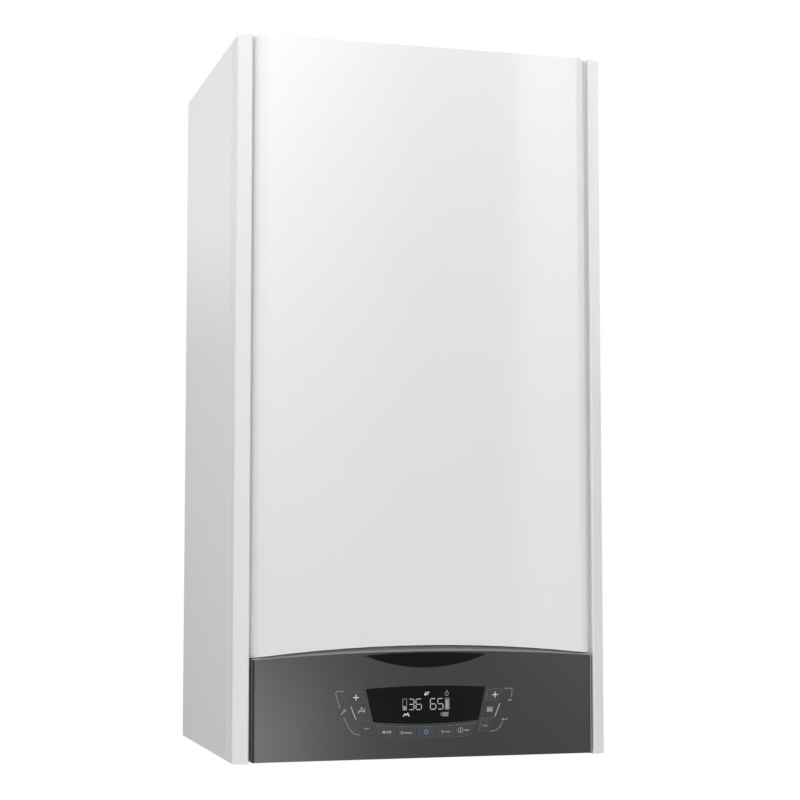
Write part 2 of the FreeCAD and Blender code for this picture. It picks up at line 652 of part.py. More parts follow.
def turned(name, profile, axis, x=0, depth=0, z=0):
    """A body of revolution: profile corners are (along, radius), up Z or to the front along Y."""
    body = new_body(name)
    plane = {"Y": "YZ", "Z": "XZ"}[axis]
    drawing = sketch(body, f"{name}_sketch", plane, 0)
    if axis == "Z":
        corners = [tuple(c[i] for i in ((1, 0, 3, 2) if len(c) == 4 else (1, 0))) for c in profile]
    else:
        corners = [tuple(-as_size(s) if i % 2 == 0 else s for i, s in enumerate(c)) for c in profile]
    draw(drawing, corners)
    feature = body.newObject("PartDesign::Revolution", f"{name}_revolution")
    feature.Profile = drawing
    feature.ReferenceAxis = (drawing, ["V_Axis" if axis == "Z" else "H_Axis"])
    feature.Angle = 360
    doc.recompute()
    return place(body, x, -as_size(depth), z)


def soften(body, kind, size, test):
    """Round or chamfer the edges of a body whose middle passes a test."""
    base = body.Tip
    names = []
    for number, edge in enumerate(base.Shape.Edges, start=1):
        middle = edge.valueAt((edge.FirstParameter + edge.LastParameter) / 2)
        if test(edge, middle):
            names.append(f"Edge{number}")
    feature = body.newObject(f"PartDesign::{kind}", f"{body.Name}_{kind.lower()}{len(body.Group)}")
    feature.Base = (base, names)
    bind(feature, {"Fillet": "Radius", "Chamfer": "Size"}[kind], size)
    doc.recompute()


def polar(body, feature, plane_axis, copies):
    """Repeat a feature evenly round one of the body's own axes."""
    pattern = body.newObject("PartDesign::PolarPattern", f"{body.Name}_polar{len(body.Group)}")
    pattern.Originals = [feature]
    axis = [o for o in body.Origin.OriginFeatures if o.Role == f"{plane_axis}_Axis"][0]
    pattern.Axis = (axis, [""])
    pattern.Angle = 360
    pattern.Occurrences = copies
    body.Tip = pattern
    doc.recompute()
    return pattern


def near(first, second):
    """Whether two numbers are the same place on the part."""
    return math.isclose(first, second, abs_tol=1e-4)


def upright(edge):
    """Whether an edge is straight and parallel to Z."""
    if not isinstance(edge.Curve, Part.Line):
        return False
    return near(abs(edge.Curve.Direction.z), 1)


def forward(edge):
    """Whether an edge is straight and parallel to Y."""
    if not isinstance(edge.Curve, Part.Line):
        return False
    return near(abs(edge.Curve.Direction.y), 1)


def vector(x, depth, z):
    """A point of a route as plain millimetres."""
    return FreeCAD.Vector(as_size(x).value, -as_size(depth).value, as_size(z).value)


def bent_path(route, bend):
    """Straight runs joined by tangent arcs of one radius."""
    edges = []
    start = route[0]
    for before, corner, after in zip(route, route[1:], route[2:]):
        arriving = (corner - before).normalize()
        leaving = (after - corner).normalize()
        half_turn = arriving.getAngle(leaving) / 2
        trim = bend * math.tan(half_turn)
        arc_start = corner - arriving * trim
        arc_end = corner + leaving * trim
        inward = (leaving - arriving).normalize()
        arc_middle = corner + inward * (bend / math.cos(half_turn) - bend)
        edges.append(Part.LineSegment(start, arc_start).toShape())
        edges.append(Part.Arc(arc_start, arc_middle, arc_end).toShape())
        start = arc_end
    edges.append(Part.LineSegment(start, route[-1]).toShape())
    return Part.Wire(edges)


def swept(path, route, radius):
    """A round bar along a path."""
    ring = Part.Circle(route[0], (route[1] - route[0]).normalize(), radius)
    solid = path.makePipeShell([Part.Wire([ring.toShape()])], True, False)
    return Part.Solid(Part.Shell(solid.Faces))


def tube(name, route, bend, radius, wall):
    """A bent tube with an open bore."""
    path = bent_path(route, bend.value)
    outer = swept(path, route, radius.value)
    bore = swept(path, route, radius.value - wall.value)
    item = doc.addObject("Part::Feature", name)
    item.Shape = outer.cut(bore)
    item.Placement = FreeCAD.Placement()
    return item


# Places that several pieces share
half = dim.case_width / 2
top = dim.bolt_drop
bottom = top - dim.case_height
side_depth = dim.case_depth - dim.cover_depth
hinge_depth = dim.case_depth - dim.hinge_setback
stub_depth = dim.case_depth - dim.stub_setback
flue_depth = dim.case_depth - dim.flue_setback
plate_depth = dim.case_depth - dim.plate_setback
drain_depth = stub_depth + dim.stub_hex + dim.trap_radius + dim.trap_gap
bracket_length = dim.case_width - 2 * dim.bracket_margin
bolt_spacing = bracket_length - 2 * dim.bolt_inset
tongue_length = bracket_length - 2 * dim.tongue_inset
inside_half = half - dim.gauge - dim.fit
panel_front = dim.back_gap + dim.gauge
vessel_front = dim.case_depth - dim.vessel_setback
vessel_depth = vessel_front - panel_front
vessel_round = vessel_depth * VESSEL_ROUND_SHARE
shell_rear = vessel_front + dim.shell_gap
shell_front = shell_rear + dim.shell_length
door_front = shell_front + dim.door_gauge
shell_axis = top - dim.shell_drop
vessel_axis = top - dim.vessel_drop
vessel_branch = vessel_axis - dim.vessel_pipe_drop
plate_top = bottom + dim.plate_level
group_rear = stub_depth - dim.group_depth / 2
group_front = stub_depth + dim.group_depth / 2
stack_depth = (group_rear - panel_front) * STACK_DEPTH_SHARE
group_foot = bottom + dim.stub_head
group_head = group_foot + dim.group_height
stile_inner = half - dim.stile_width
panel_half = stile_inner - dim.groove_width
panel_rear = dim.case_depth - dim.panel_return
fascia_half = stile_inner - dim.fascia_gap
fascia_rear = dim.case_depth - dim.fascia_depth
housing_half = fascia_half - dim.housing_inset
wall_rear = dim.case_depth - dim.fascia_front
hinge_axis = bottom + dim.hinge_level
fan_axis = shell_axis - dim.shell_radius - dim.shell_flange - dim.outlet_drop - dim.outlet_rise
fan_rear = door_front - dim.fan_setback - dim.fan_depth / 2
fan_front = fan_rear + dim.fan_depth
stud_levels = (top - dim.upper_stud_drop, bottom + dim.lower_stud_level)
stub_places = [dim.stub_pitch * number for number in (-2, -1, 0, 1, 2)]
stub_radii = [dim.wide_stub, dim.narrow_stub, dim.wide_stub, dim.narrow_stub, dim.wide_stub]


def make_side_panel(side, name):
    """A side of the casing: one folded sheet with flanges at the wall and at the front."""
    outer = half * side
    inner = (half - dim.gauge) * side
    front_lip = (half - dim.side_front_flange) * side
    rear_lip = (half - dim.side_rear_flange) * side
    front = -side_depth
    corners = [
        (outer, 0),
        (outer, front),
        (front_lip, front),
        (front_lip, front + dim.gauge),
        (inner, front + dim.gauge),
        (inner, -dim.gauge),
        (rear_lip, -dim.gauge),
        (rear_lip, 0),
    ]
    body = prism(name, "XY", [corners], bottom, top)
    outer_edge = (outer.value, front.value)
    inner_edge = (inner.value, front.value + dim.gauge.value)

    def at_outer(edge, middle):
        return upright(edge) and near(middle.x, outer_edge[0]) and near(middle.y, outer_edge[1])

    def at_inner(edge, middle):
        return upright(edge) and near(middle.x, inner_edge[0]) and near(middle.y, inner_edge[1])

    soften(body, "Fillet", dim.side_bend, at_outer)
    soften(body, "Fillet", dim.side_bend - dim.gauge, at_inner)
    notch = [
        (front_lip - dim.overrun * side, bottom - dim.overrun),
        (inner - dim.side_bend * side, bottom - dim.overrun),
        (inner - dim.side_bend * side, bottom + dim.flange_start),
        (front_lip - dim.overrun * side, bottom + dim.flange_start),
    ]
    stud_x = (half - dim.stud_inset) * side
    hole = dim.cover_stud + dim.stud_fit
    openings = [notch]
    for level in stud_levels:
        openings.append((stud_x, level, hole))
    cut_start = side_depth - dim.gauge - dim.overrun
    pocket(body, "XZ", openings, cut_start, side_depth + dim.overrun)
    return part(body, name)


def make_back_panel():
    """The back sheet with its pressed ribs, bolt windows and hanging tongue."""
    low = bottom + dim.back_foot
    high = top - dim.back_head
    rear = dim.back_gap
    sheet_outline = [(-inside_half, low), (inside_half, low), (inside_half, high), (-inside_half, high)]
    body = prism("back_panel", "XZ", [sheet_outline], rear, panel_front)
    windows = []
    for side in (-1, 1):
        middle = bolt_spacing / 2 * side
        windows.append([
            (middle - dim.window_width / 2, -dim.window_height / 2),
            (middle + dim.window_width / 2, -dim.window_height / 2),
            (middle + dim.window_width / 2, dim.window_height / 2),
            (middle - dim.window_width / 2, dim.window_height / 2),
        ])
    pocket(body, "XZ", windows, rear - dim.overrun, panel_front + dim.overrun)
    ribs = []
    for side in (-1, 1):
        ribs.append(((half - dim.rib_margin) * side, (low + dim.rib_foot + high - dim.rib_head) / 2,
                     dim.rib_width, high - dim.rib_head - low - dim.rib_foot))
    for share in CROSS_RIB_SHARES:
        ribs.append((as_size(0), low + (high - low) * share, 2 * (half - dim.cross_rib_end), dim.rib_width))

    def rib_outlines(inset):
        outlines = []
        for x, z, width, height in ribs:
            reach = width / 2 - inset
            rise = height / 2 - inset
            outlines.append([
                (x - reach, z - rise),
                (x + reach, z - rise),
                (x + reach, z + rise),
                (x - reach, z + rise),
            ])
        return outlines

    pad(body, "XZ", rib_outlines(as_size(0)), rear - dim.rib_rise, rear)
    pocket(body, "XZ", rib_outlines(dim.gauge), rear - dim.rib_rise + dim.gauge, panel_front + dim.overrun)
    shelf_top = dim.bracket_rise
    lip_top = shelf_top - dim.bracket_gauge + dim.bracket_lip
    tongue_top = lip_top + dim.bracket_gauge + dim.fit
    groove_front = dim.bracket_reach - dim.bracket_gauge
    hook_front = groove_front - dim.fit
    hook_rear = hook_front - dim.bracket_gauge
    hook = [
        (-rear, tongue_top),
        (-rear, tongue_top - dim.bracket_gauge),
        (-hook_front, tongue_top - dim.bracket_gauge),
        (-hook_front, shelf_top),
        (-hook_rear, shelf_top),
        (-hook_rear, tongue_top),
    ]
    pad(body, "YZ", [hook], -tongue_length / 2, tongue_length / 2)
    return part(body, "back_panel")


def make_wall_bracket():
    """The hooked steel bar that is bolted to the wall."""
    reach = dim.bracket_reach
    gauge = dim.bracket_gauge
    shelf_top = dim.bracket_rise
    profile = [
        (0, -dim.bracket_drop),
        (0, shelf_top),
        (-(reach - gauge), shelf_top),
        (-(reach - gauge), shelf_top - gauge + dim.bracket_lip),
        (-reach, shelf_top - gauge + dim.bracket_lip),
        (-reach, shelf_top - gauge),
        (-gauge, shelf_top - gauge),
        (-gauge, -dim.bracket_drop),
    ]
    body = prism("wall_bracket", "YZ", [profile], -bracket_length / 2, bracket_length / 2)
    holes = [(bolt_spacing / 2 * side, 0, dim.bolt_hole) for side in (-1, 1)]
    pocket(body, "XZ", holes, -dim.overrun, gauge + dim.overrun)
    return part(body, "wall_bracket")


def make_top_panel():
    """The lid sheet with two turned-down edges and the flue opening."""
    rear = panel_front + dim.fit
    front = side_depth - dim.top_front_gap
    gauge = dim.gauge
    profile = [
        (-rear, top),
        (-rear, top - dim.panel_flange),
        (-(rear + gauge), top - dim.panel_flange),
        (-(rear + gauge), top - gauge),
        (-(front - gauge), top - gauge),
        (-(front - gauge), top - dim.panel_flange),
        (-front, top - dim.panel_flange),
        (-front, top),
    ]
    body = prism("top_panel", "YZ", [profile], -inside_half, inside_half)
    opening = (0, -flue_depth, dim.collar_radius - dim.collar_wall)
    pocket(body, "XY", [opening], top - dim.panel_flange, top + dim.overrun)
    return part(body, "top_panel")


def make_bottom_plate():
    """The plate that holds the service stubs, with an upturned front edge."""
    rear = panel_front + dim.fit
    front = plate_depth
    gauge = dim.plate_gauge
    profile = [
        (-rear, plate_top),
        (-rear, plate_top - gauge),
        (-front, plate_top - gauge),
        (-front, plate_top + dim.plate_flange),
        (-(front - gauge), plate_top + dim.plate_flange),
        (-(front - gauge), plate_top),
    ]
    body = prism("bottom_plate", "YZ", [profile], -inside_half, inside_half)
    holes = [(x, -stub_depth, radius + dim.fit) for x, radius in zip(stub_places, stub_radii)]
    holes.append((0, -drain_depth, dim.trap_spigot + dim.fit))
    pocket(body, "XY", holes, plate_top - gauge - dim.overrun, plate_top + dim.overrun)
    return part(body, "bottom_plate")


def make_cross_rail():
    """The angle behind the lower edge of the front panel."""
    front = side_depth - dim.gauge
    low = bottom + dim.rail_level
    high = low + dim.rail_height
    profile = [
        (-front, low),
        (-front, high),
        (-(front - dim.rail_width), high),
        (-(front - dim.rail_width), high - dim.gauge),
        (-(front - dim.gauge), high - dim.gauge),
        (-(front - dim.gauge), low),
    ]
    rail_half = inside_half - dim.side_bend
    return part(prism("cross_rail", "YZ", [profile], -rail_half, rail_half), "cross_rail")


def make_hinge_brackets():
    """A bent arm on each side panel, with the hole for the control box's pin."""
    arms = []
    for side, name in ((-1, "left_arm"), (1, "right_arm")):
        inner = (housing_half + dim.hinge_gap) * side
        outer = (housing_half + dim.hinge_gap + dim.arm_gauge) * side
        wall = (half - dim.gauge) * side
        leg = (half - dim.gauge - dim.arm_gauge) * side
        front = -(hinge_depth + dim.arm_reach)
        web = -(hinge_depth - dim.arm_back)
        profile = [
            (inner, front),
            (inner, web),
            (leg, web),
            (leg, web + dim.leg_length),
            (wall, web + dim.leg_length),
            (wall, web - dim.arm_gauge),
            (outer, web - dim.arm_gauge),
            (outer, front),
        ]
        low = hinge_axis - dim.arm_height / 2
        arm = prism(name, "XY", [profile], low, low + dim.arm_height)
        front_end = front.value

        def front_corner(edge, middle):
            return near(middle.y, front_end) and not upright(edge)

        soften(arm, "Fillet", dim.arm_round, front_corner)
        hole = rod(f"{name}_hole", dim.hinge_pin + dim.hinge_fit, dim.arm_gauge + 2 * dim.overrun,
                   (inner if side > 0 else outer) - dim.overrun, hinge_depth, hinge_axis, "X")
        arms.append(cut(f"{name}_bored", arm, hole))
    return part(group("hinge_brackets", *arms), "hinge_brackets")


def make_flue():
    """The air collar on the casing, its fixings, and the flue duct that stands in it."""
    outer = dim.collar_radius
    inner = outer - dim.collar_wall
    rim = outer + dim.collar_flange
    collar = turned("flue_collar", [
        (0, inner),
        (0, rim),
        (dim.collar_wall, rim),
        (dim.collar_wall, outer),
        (dim.collar_height - dim.collar_lead, outer),
        (dim.collar_height, outer - dim.collar_lead),
        (dim.collar_height, inner),
    ], "Z", 0, flue_depth, top)
    part(collar, "flue_collar")
    seat = top + dim.collar_wall
    ring = outer + dim.collar_flange / 2
    fixings = []
    for number in range(COLLAR_SCREWS):
        angle = math.radians(FIRST_SCREW_TURN + 360 / COLLAR_SCREWS * number)
        fixings.append(rod(f"collar_screw{number}", dim.collar_screw, dim.screw_head,
                           ring * math.cos(angle), flue_depth + ring * math.sin(angle), seat))
    for side in (-1, 1):
        plug = turned(f"test_plug{side + 1}", [
            (0, 0),
            (0, dim.plug_radius),
            (dim.plug_height / 2, dim.plug_radius),
            (dim.plug_height, dim.plug_radius / 2),
            (dim.plug_height, 0),
        ], "Z", ring * side, flue_depth, seat)
        fixings.append(plug)
    part(group("collar_fixings", *fixings), "collar_fixings")
    foot = shell_axis + dim.flue_nozzle_rise
    head = top + dim.flue_rise
    shoulder = head - dim.socket_length
    skin = dim.flue_bore + dim.flue_wall
    duct = turned("flue_duct", [
        (0, dim.flue_neck),
        (0, skin),
        (head - foot, skin),
        (head - foot, dim.flue_bore),
        (shoulder - foot, dim.flue_bore),
        (shoulder - foot, dim.flue_neck),
    ], "Z", 0, flue_depth, foot)
    part(duct, "flue_duct")


def make_expansion_vessel():
    """A flat round tank pressed from two dishes, with a rolled seam and a bore for its pipe."""
    radius = dim.vessel_radius
    depth = vessel_depth
    level = vessel_axis
    seam_start = depth / 2 - dim.seam_width / 2
    seam_end = depth / 2 + dim.seam_width / 2
    seam = [
        (seam_start, radius),
        (seam_start, radius + dim.seam_height),
        (seam_end, radius + dim.seam_height),
        (seam_end, radius),
    ]

    def dish(name, inset, middle_corners):
        curve = vessel_round - inset
        knee = curve * KNEE_SHARE
        start = inset
        end = depth - inset
        rim = radius - inset
        corners = [(start, 0), (start, rim - curve, start + knee, rim - knee), (start + curve, rim)]
        corners += middle_corners
        corners += [(end - curve, rim, end - knee, rim - knee), (end, rim - curve), (end, 0)]
        return turned(name, corners, "Y", 0, panel_front, level)

    skin = dish("vessel_skin", as_size(0), seam)
    hollow = dish("vessel_hollow", dim.vessel_wall, [])
    bore = rod("vessel_bore", dim.vessel_pipe_radius - dim.pipe_wall, depth, dim.vessel_pipe_offset,
               panel_front + depth / 2, vessel_branch, "Y")
    part(cut("expansion_vessel", skin, hollow, bore), "expansion_vessel")


def make_exchanger():
    """The drum round the flame, with its nozzles and the posts that carry it."""
    radius = dim.shell_radius
    length = dim.shell_length
    profile = [(0, 0), (0, radius)]
    for share in BEAD_SHARES:
        middle = length * share
        profile.append((middle - dim.bead_width / 2, radius, middle, radius + dim.bead_height))
        profile.append((middle + dim.bead_width / 2, radius))
    profile += [
        (length - dim.flange_gauge, radius),
        (length - dim.flange_gauge, radius + dim.shell_flange),
        (length, radius + dim.shell_flange),
        (length, 0),
    ]
    drum = turned("drum", profile, "Y", 0, shell_rear, shell_axis)
    inner = radius - dim.shell_wall
    cavity = rod("drum_cavity", inner, length - dim.shell_wall + dim.overrun,
                 0, shell_rear + dim.shell_wall, shell_axis, "Y")
    flue_skin = dim.flue_bore + dim.flue_wall
    outside = [drum, rod("flue_nozzle", flue_skin, dim.flue_nozzle_rise, 0, flue_depth, shell_axis)]
    bores = [cavity, rod("flue_opening", dim.flue_neck, dim.flue_nozzle_rise + dim.overrun,
                         0, flue_depth, shell_axis)]
    lower = [(0, drain_depth, dim.drain_radius)]
    for side in (-1, 1):
        lower.append((dim.nozzle_spread * side, stub_depth, dim.nozzle_radius))
    foot = shell_axis - dim.nozzle_drop - dim.shell_flange
    for number, (x, depth, skin) in enumerate(lower):
        height = dim.nozzle_drop + dim.shell_flange
        outside.append(rod(f"lower_nozzle{number}", skin, height, x, depth, foot))
        bores.append(rod(f"lower_opening{number}", skin - dim.nozzle_wall, height + dim.overrun,
                         x, depth, foot - dim.overrun))
    for side in (-1, 1):
        outside.append(rod(f"post{side + 1}", dim.post_radius, shell_rear + dim.shell_wall - panel_front,
                           dim.post_spread * side, panel_front, shell_axis + dim.post_rise, "Y"))
    part(cut("exchanger_shell", fuse("exchanger_outside", *outside), *bores), "exchanger_shell")
    return foot


def make_burner_door():
    """The ribbed front of the exchanger with its inlet, nuts and electrodes."""
    rim = dim.shell_radius + dim.shell_flange
    gauge = dim.door_gauge
    sunk = gauge - dim.door_dish
    door = turned("door_disc", [
        (0, dim.door_port),
        (0, rim),
        (gauge, rim),
        (gauge, rim - dim.rim_width),
        (sunk, rim - dim.rim_width - dim.door_dish),
        (sunk, dim.door_port + dim.rim_width / 2),
        (gauge, dim.door_port + dim.rim_width / 2),
        (gauge, dim.door_port),
    ], "Y", 0, shell_front, shell_axis)
    hub = dim.door_port + dim.rim_width / 4
    rib_end = rim - dim.rim_width + dim.door_dish
    rib = [
        (hub, -dim.door_rib / 2),
        (rib_end, -dim.door_rib / 2),
        (rib_end, dim.door_rib / 2),
        (hub, dim.door_rib / 2),
    ]
    polar(door, pad(door, "XZ", [rib], sunk / 2, gauge), "Y", DOOR_RIBS)
    electrodes = []
    holes = []
    for number in (-1, 1):
        x = dim.electrode_spread + dim.electrode_pitch / 2 * number
        z = shell_axis - dim.electrode_drop
        holes.append(rod(f"electrode_hole{number + 1}", dim.ceramic_radius + dim.fit,
                         gauge + 2 * dim.overrun, x, shell_front - dim.overrun, z, "Y"))
        ceramic = turned(f"electrode{number + 1}", [
            (-dim.pin_length, 0),
            (-dim.pin_length, dim.pin_radius),
            (0, dim.pin_radius),
            (0, dim.ceramic_radius),
            (gauge + dim.ceramic_length, dim.ceramic_radius),
            (gauge + dim.ceramic_length, dim.pin_radius),
            (gauge + dim.ceramic_length + dim.ceramic_radius, dim.pin_radius),
            (gauge + dim.ceramic_length + dim.ceramic_radius, 0),
        ], "Y", x, shell_front, z)
        electrodes.append(ceramic)
    part(cut("burner_door", door, *holes), "burner_door")
    part(group("ignition_electrodes", *electrodes), "ignition_electrodes")
    nuts = []
    ring = rim - dim.rim_width / 2
    for number in range(DOOR_NUTS):
        angle = math.radians(360 / DOOR_NUTS * number)
        x = ring * math.cos(angle)
        z = shell_axis + ring * math.sin(angle)
        nut = hexagon(f"nut{number}", dim.nut_radius, dim.nut_height, x, door_front, z, "Y")
        stud = rod(f"stud{number}", dim.stud_radius, dim.nut_height + dim.stud_height,
                   x, door_front, z, "Y")
        nuts.append(fuse(f"door_nut{number}", nut, stud))
    part(group("door_nuts", *nuts), "door_nuts")


def volute(inset, reach):
    """The spiral of the fan's housing: its radius grows evenly from the tongue to the outlet."""
    start = dim.volute_start - inset
    end = dim.volute_end - inset
    left_wall = dim.volute_end - dim.outlet_width + inset
    tongue = math.acos(left_wall.value / start.value)
    centre_x = -dim.fan_offset
    places = []
    for number in range(2 * VOLUTE_ARCS + 1):
        share = number / (2 * VOLUTE_ARCS)
        angle = tongue + (2 * math.pi - tongue) * share
        radius = start + (end - start) * share
        places.append((centre_x + radius * math.cos(angle), fan_axis + radius * math.sin(angle)))
    corners = [places[2 * n] + places[2 * n + 1] for n in range(VOLUTE_ARCS)]
    corners.append(places[-1])
    corners.append((centre_x + end, fan_axis + reach))
    corners.append((centre_x + left_wall, fan_axis + reach))
    return corners


def make_fan():
    """The premix fan: spiral housing with its flanged outlet, motor, impeller and venturi."""
    x = -dim.fan_offset
    wall = dim.fan_wall
    housing = prism("fan_housing", "XZ", [volute(as_size(0), dim.outlet_rise)], fan_rear, fan_front)
    left = x + dim.volute_end - dim.outlet_width
    right = x + dim.volute_end
    lip = dim.outlet_flange
    flange = [
        (left - lip, -(fan_front + lip)),
        (right + lip, -(fan_front + lip)),
        (right + lip, -(fan_rear - lip)),
        (left - lip, -(fan_rear - lip)),
    ]
    outlet = fan_axis + dim.outlet_rise
    pad(housing, "XY", [flange], outlet - wall, outlet)
    hollow = volute(wall, dim.outlet_rise + dim.overrun)
    pocket(housing, "XZ", [hollow], fan_rear + wall, fan_front - wall)
    pocket(housing, "XZ", [(x, fan_axis, dim.fan_inlet)], fan_front - wall - dim.overrun,
           fan_front + dim.overrun)
    pocket(housing, "XZ", [(x, fan_axis, dim.shaft_radius + dim.fit)], fan_rear - dim.overrun,
           fan_rear + wall + dim.overrun)
    screws = []
    for number in range(FAN_SCREWS):
        angle = math.radians(FIRST_SCREW_TURN + 360 / FAN_SCREWS * number)
        ring = dim.fan_screw_ring
        screws.append((x + ring * math.cos(angle), fan_axis + ring * math.sin(angle), dim.fan_screw))
    pad(housing, "XZ", screws, fan_front, fan_front + dim.fan_screw_height)
    part(housing, "fan_housing")

    shaft_depth = dim.motor_length / 2
    bore = dim.shaft_radius + dim.shaft_fit
    curve = dim.motor_round
    knee = curve * KNEE_SHARE
    motor = turned("fan_motor", [
        (-dim.motor_length, 0),
        (-dim.motor_length, dim.motor_radius - curve, knee - dim.motor_length, dim.motor_radius - knee),
        (curve - dim.motor_length, dim.motor_radius),
        (0, dim.motor_radius),
        (0, bore),
        (-shaft_depth, bore),
        (-shaft_depth, 0),
    ], "Y", x, fan_rear, fan_axis)
    part(motor, "fan_motor")

    impeller = new_body("fan_impeller")
    disc = wall + dim.impeller_gap
    blade_end = dim.fan_depth - wall - dim.impeller_gap - dim.impeller_plate
    profile = [
        (-(shaft_depth - dim.fit), 0),
        (-(shaft_depth - dim.fit), dim.shaft_radius),
        (disc, dim.shaft_radius),
        (disc, dim.impeller_radius),
        (disc + dim.impeller_plate, dim.impeller_radius),
        (disc + dim.impeller_plate, dim.hub_radius),
        (blade_end, dim.hub_radius),
        (blade_end, 0),
    ]
    drawing = sketch(impeller, "impeller_profile", "YZ", 0)
    draw(drawing, [(-as_size(along), radius) for along, radius in profile])
    spin = impeller.newObject("PartDesign::Revolution", "impeller_hub")
    spin.Profile = drawing
    spin.ReferenceAxis = (drawing, ["H_Axis"])
    spin.Angle = 360
    doc.recompute()
    lag = math.radians(BLADE_LAG)
    inner = dim.impeller_eye
    outer = dim.impeller_radius
    gauge = dim.blade_gauge
    sweep = ((inner + gauge, 0), ((inner + outer) / 2, lag * BLADE_BOW_SHARE), (outer - gauge, lag))
    thickness = (gauge / inner).value

    def blade_side(lead):
        return [(radius * math.cos(turn - lead), radius * -math.sin(turn - lead)) for radius, turn in sweep]

    front_side = blade_side(0)
    back_side = blade_side(thickness)
    blade = [front_side[0] + front_side[1], front_side[2], back_side[2] + back_side[1], back_side[0]]
    half_plate = dim.impeller_plate / 2
    blade_pad = pad(impeller, "XZ", [blade], disc + half_plate, blade_end + half_plate)
    polar(impeller, blade_pad, "Y", IMPELLER_BLADES)
    pad(impeller, "XZ", [(0, 0, outer), (0, 0, inner)], blade_end, blade_end + dim.impeller_plate)
    place(impeller, x, -fan_rear, fan_axis)
    part(impeller, "fan_impeller")

    length = dim.venturi_length
    waist = dim.venturi_waist
    skin = dim.venturi_radius
    lip = dim.venturi_lip
    venturi = turned("venturi_body", [
        (0, dim.fan_inlet - wall),
        (0, skin),
        (lip, skin),
        (lip + lip / 2, waist, length / 2, waist - wall / 2),
        (length - lip - lip / 2, waist),
        (length - lip, skin),
        (length, skin),
        (length, 0),
        (length - lip / 2, 0),
        (length - lip / 2, waist - wall, length / 2, waist - wall - wall / 2),
    ], "Y", x, fan_front, fan_axis)
    reach = skin - waist + wall
    middle = fan_front + length / 2
    gas_boss = rod("gas_boss", dim.gas_pipe_radius + wall, reach, x + waist - wall, middle, fan_axis, "X")
    air_boss = rod("air_boss", dim.silencer_radius, reach, x - skin, middle, fan_axis, "X")
    part(fuse("venturi", venturi, gas_boss, air_boss), "venturi")


def make_air_silencer():
    """The pipe that brings air to the venturi from the upper part of the casing."""
    middle = fan_front + dim.venturi_length / 2
    x_start = -dim.fan_offset - dim.venturi_radius
    x_end = -dim.fan_offset - dim.silencer_reach
    route = [
        vector(x_start, middle, fan_axis),
        vector(x_end, middle, fan_axis),
        vector(x_end, middle, fan_axis + dim.silencer_rise),
    ]
    pipe = tube("air_silencer", route, dim.silencer_bend, dim.silencer_radius, dim.silencer_wall)
    part(pipe, "air_silencer")


def make_manifold():
    """The cast duct from the fan's outlet up to the middle of the burner door."""
    depth_end = door_front + dim.manifold_depth
    x = -dim.fan_offset
    left = x + dim.volute_end - dim.outlet_width
    right = x + dim.volute_end
    lip = dim.outlet_flange
    foot = fan_axis + dim.outlet_rise
    shelf = foot + dim.fan_wall
    crown = dim.manifold_half
    body = prism("mixer_manifold", "XZ", [[
        (left, shelf),
        (right, shelf),
        (crown, shell_axis - dim.shell_radius + dim.manifold_lap),
        (crown, shell_axis, 0, shell_axis + crown),
        (-crown, shell_axis),
        (-crown, shell_axis - dim.shell_radius + dim.manifold_lap),
    ]], door_front, depth_end)
    foot_outline = [
        (left, -depth_end),
        (right, -depth_end),
        (right, -fan_rear),
        (left, -fan_rear),
    ]
    ceiling = foot + dim.outlet_drop - dim.fit
    pad(body, "XY", [foot_outline], shelf, ceiling)
    flange = [
        (left - lip, -depth_end),
        (right + lip, -depth_end),
        (right + lip, -(fan_rear - lip)),
        (left - lip, -(fan_rear - lip)),
    ]
    pad(body, "XY", [flange], foot, shelf)
    front_depth = depth_end.value

    def front_rim(edge, middle):
        return near(middle.y, -front_depth) and middle.z > shelf.value

    soften(body, "Fillet", dim.fan_wall, front_rim)
    part(body, "mixer_manifold")


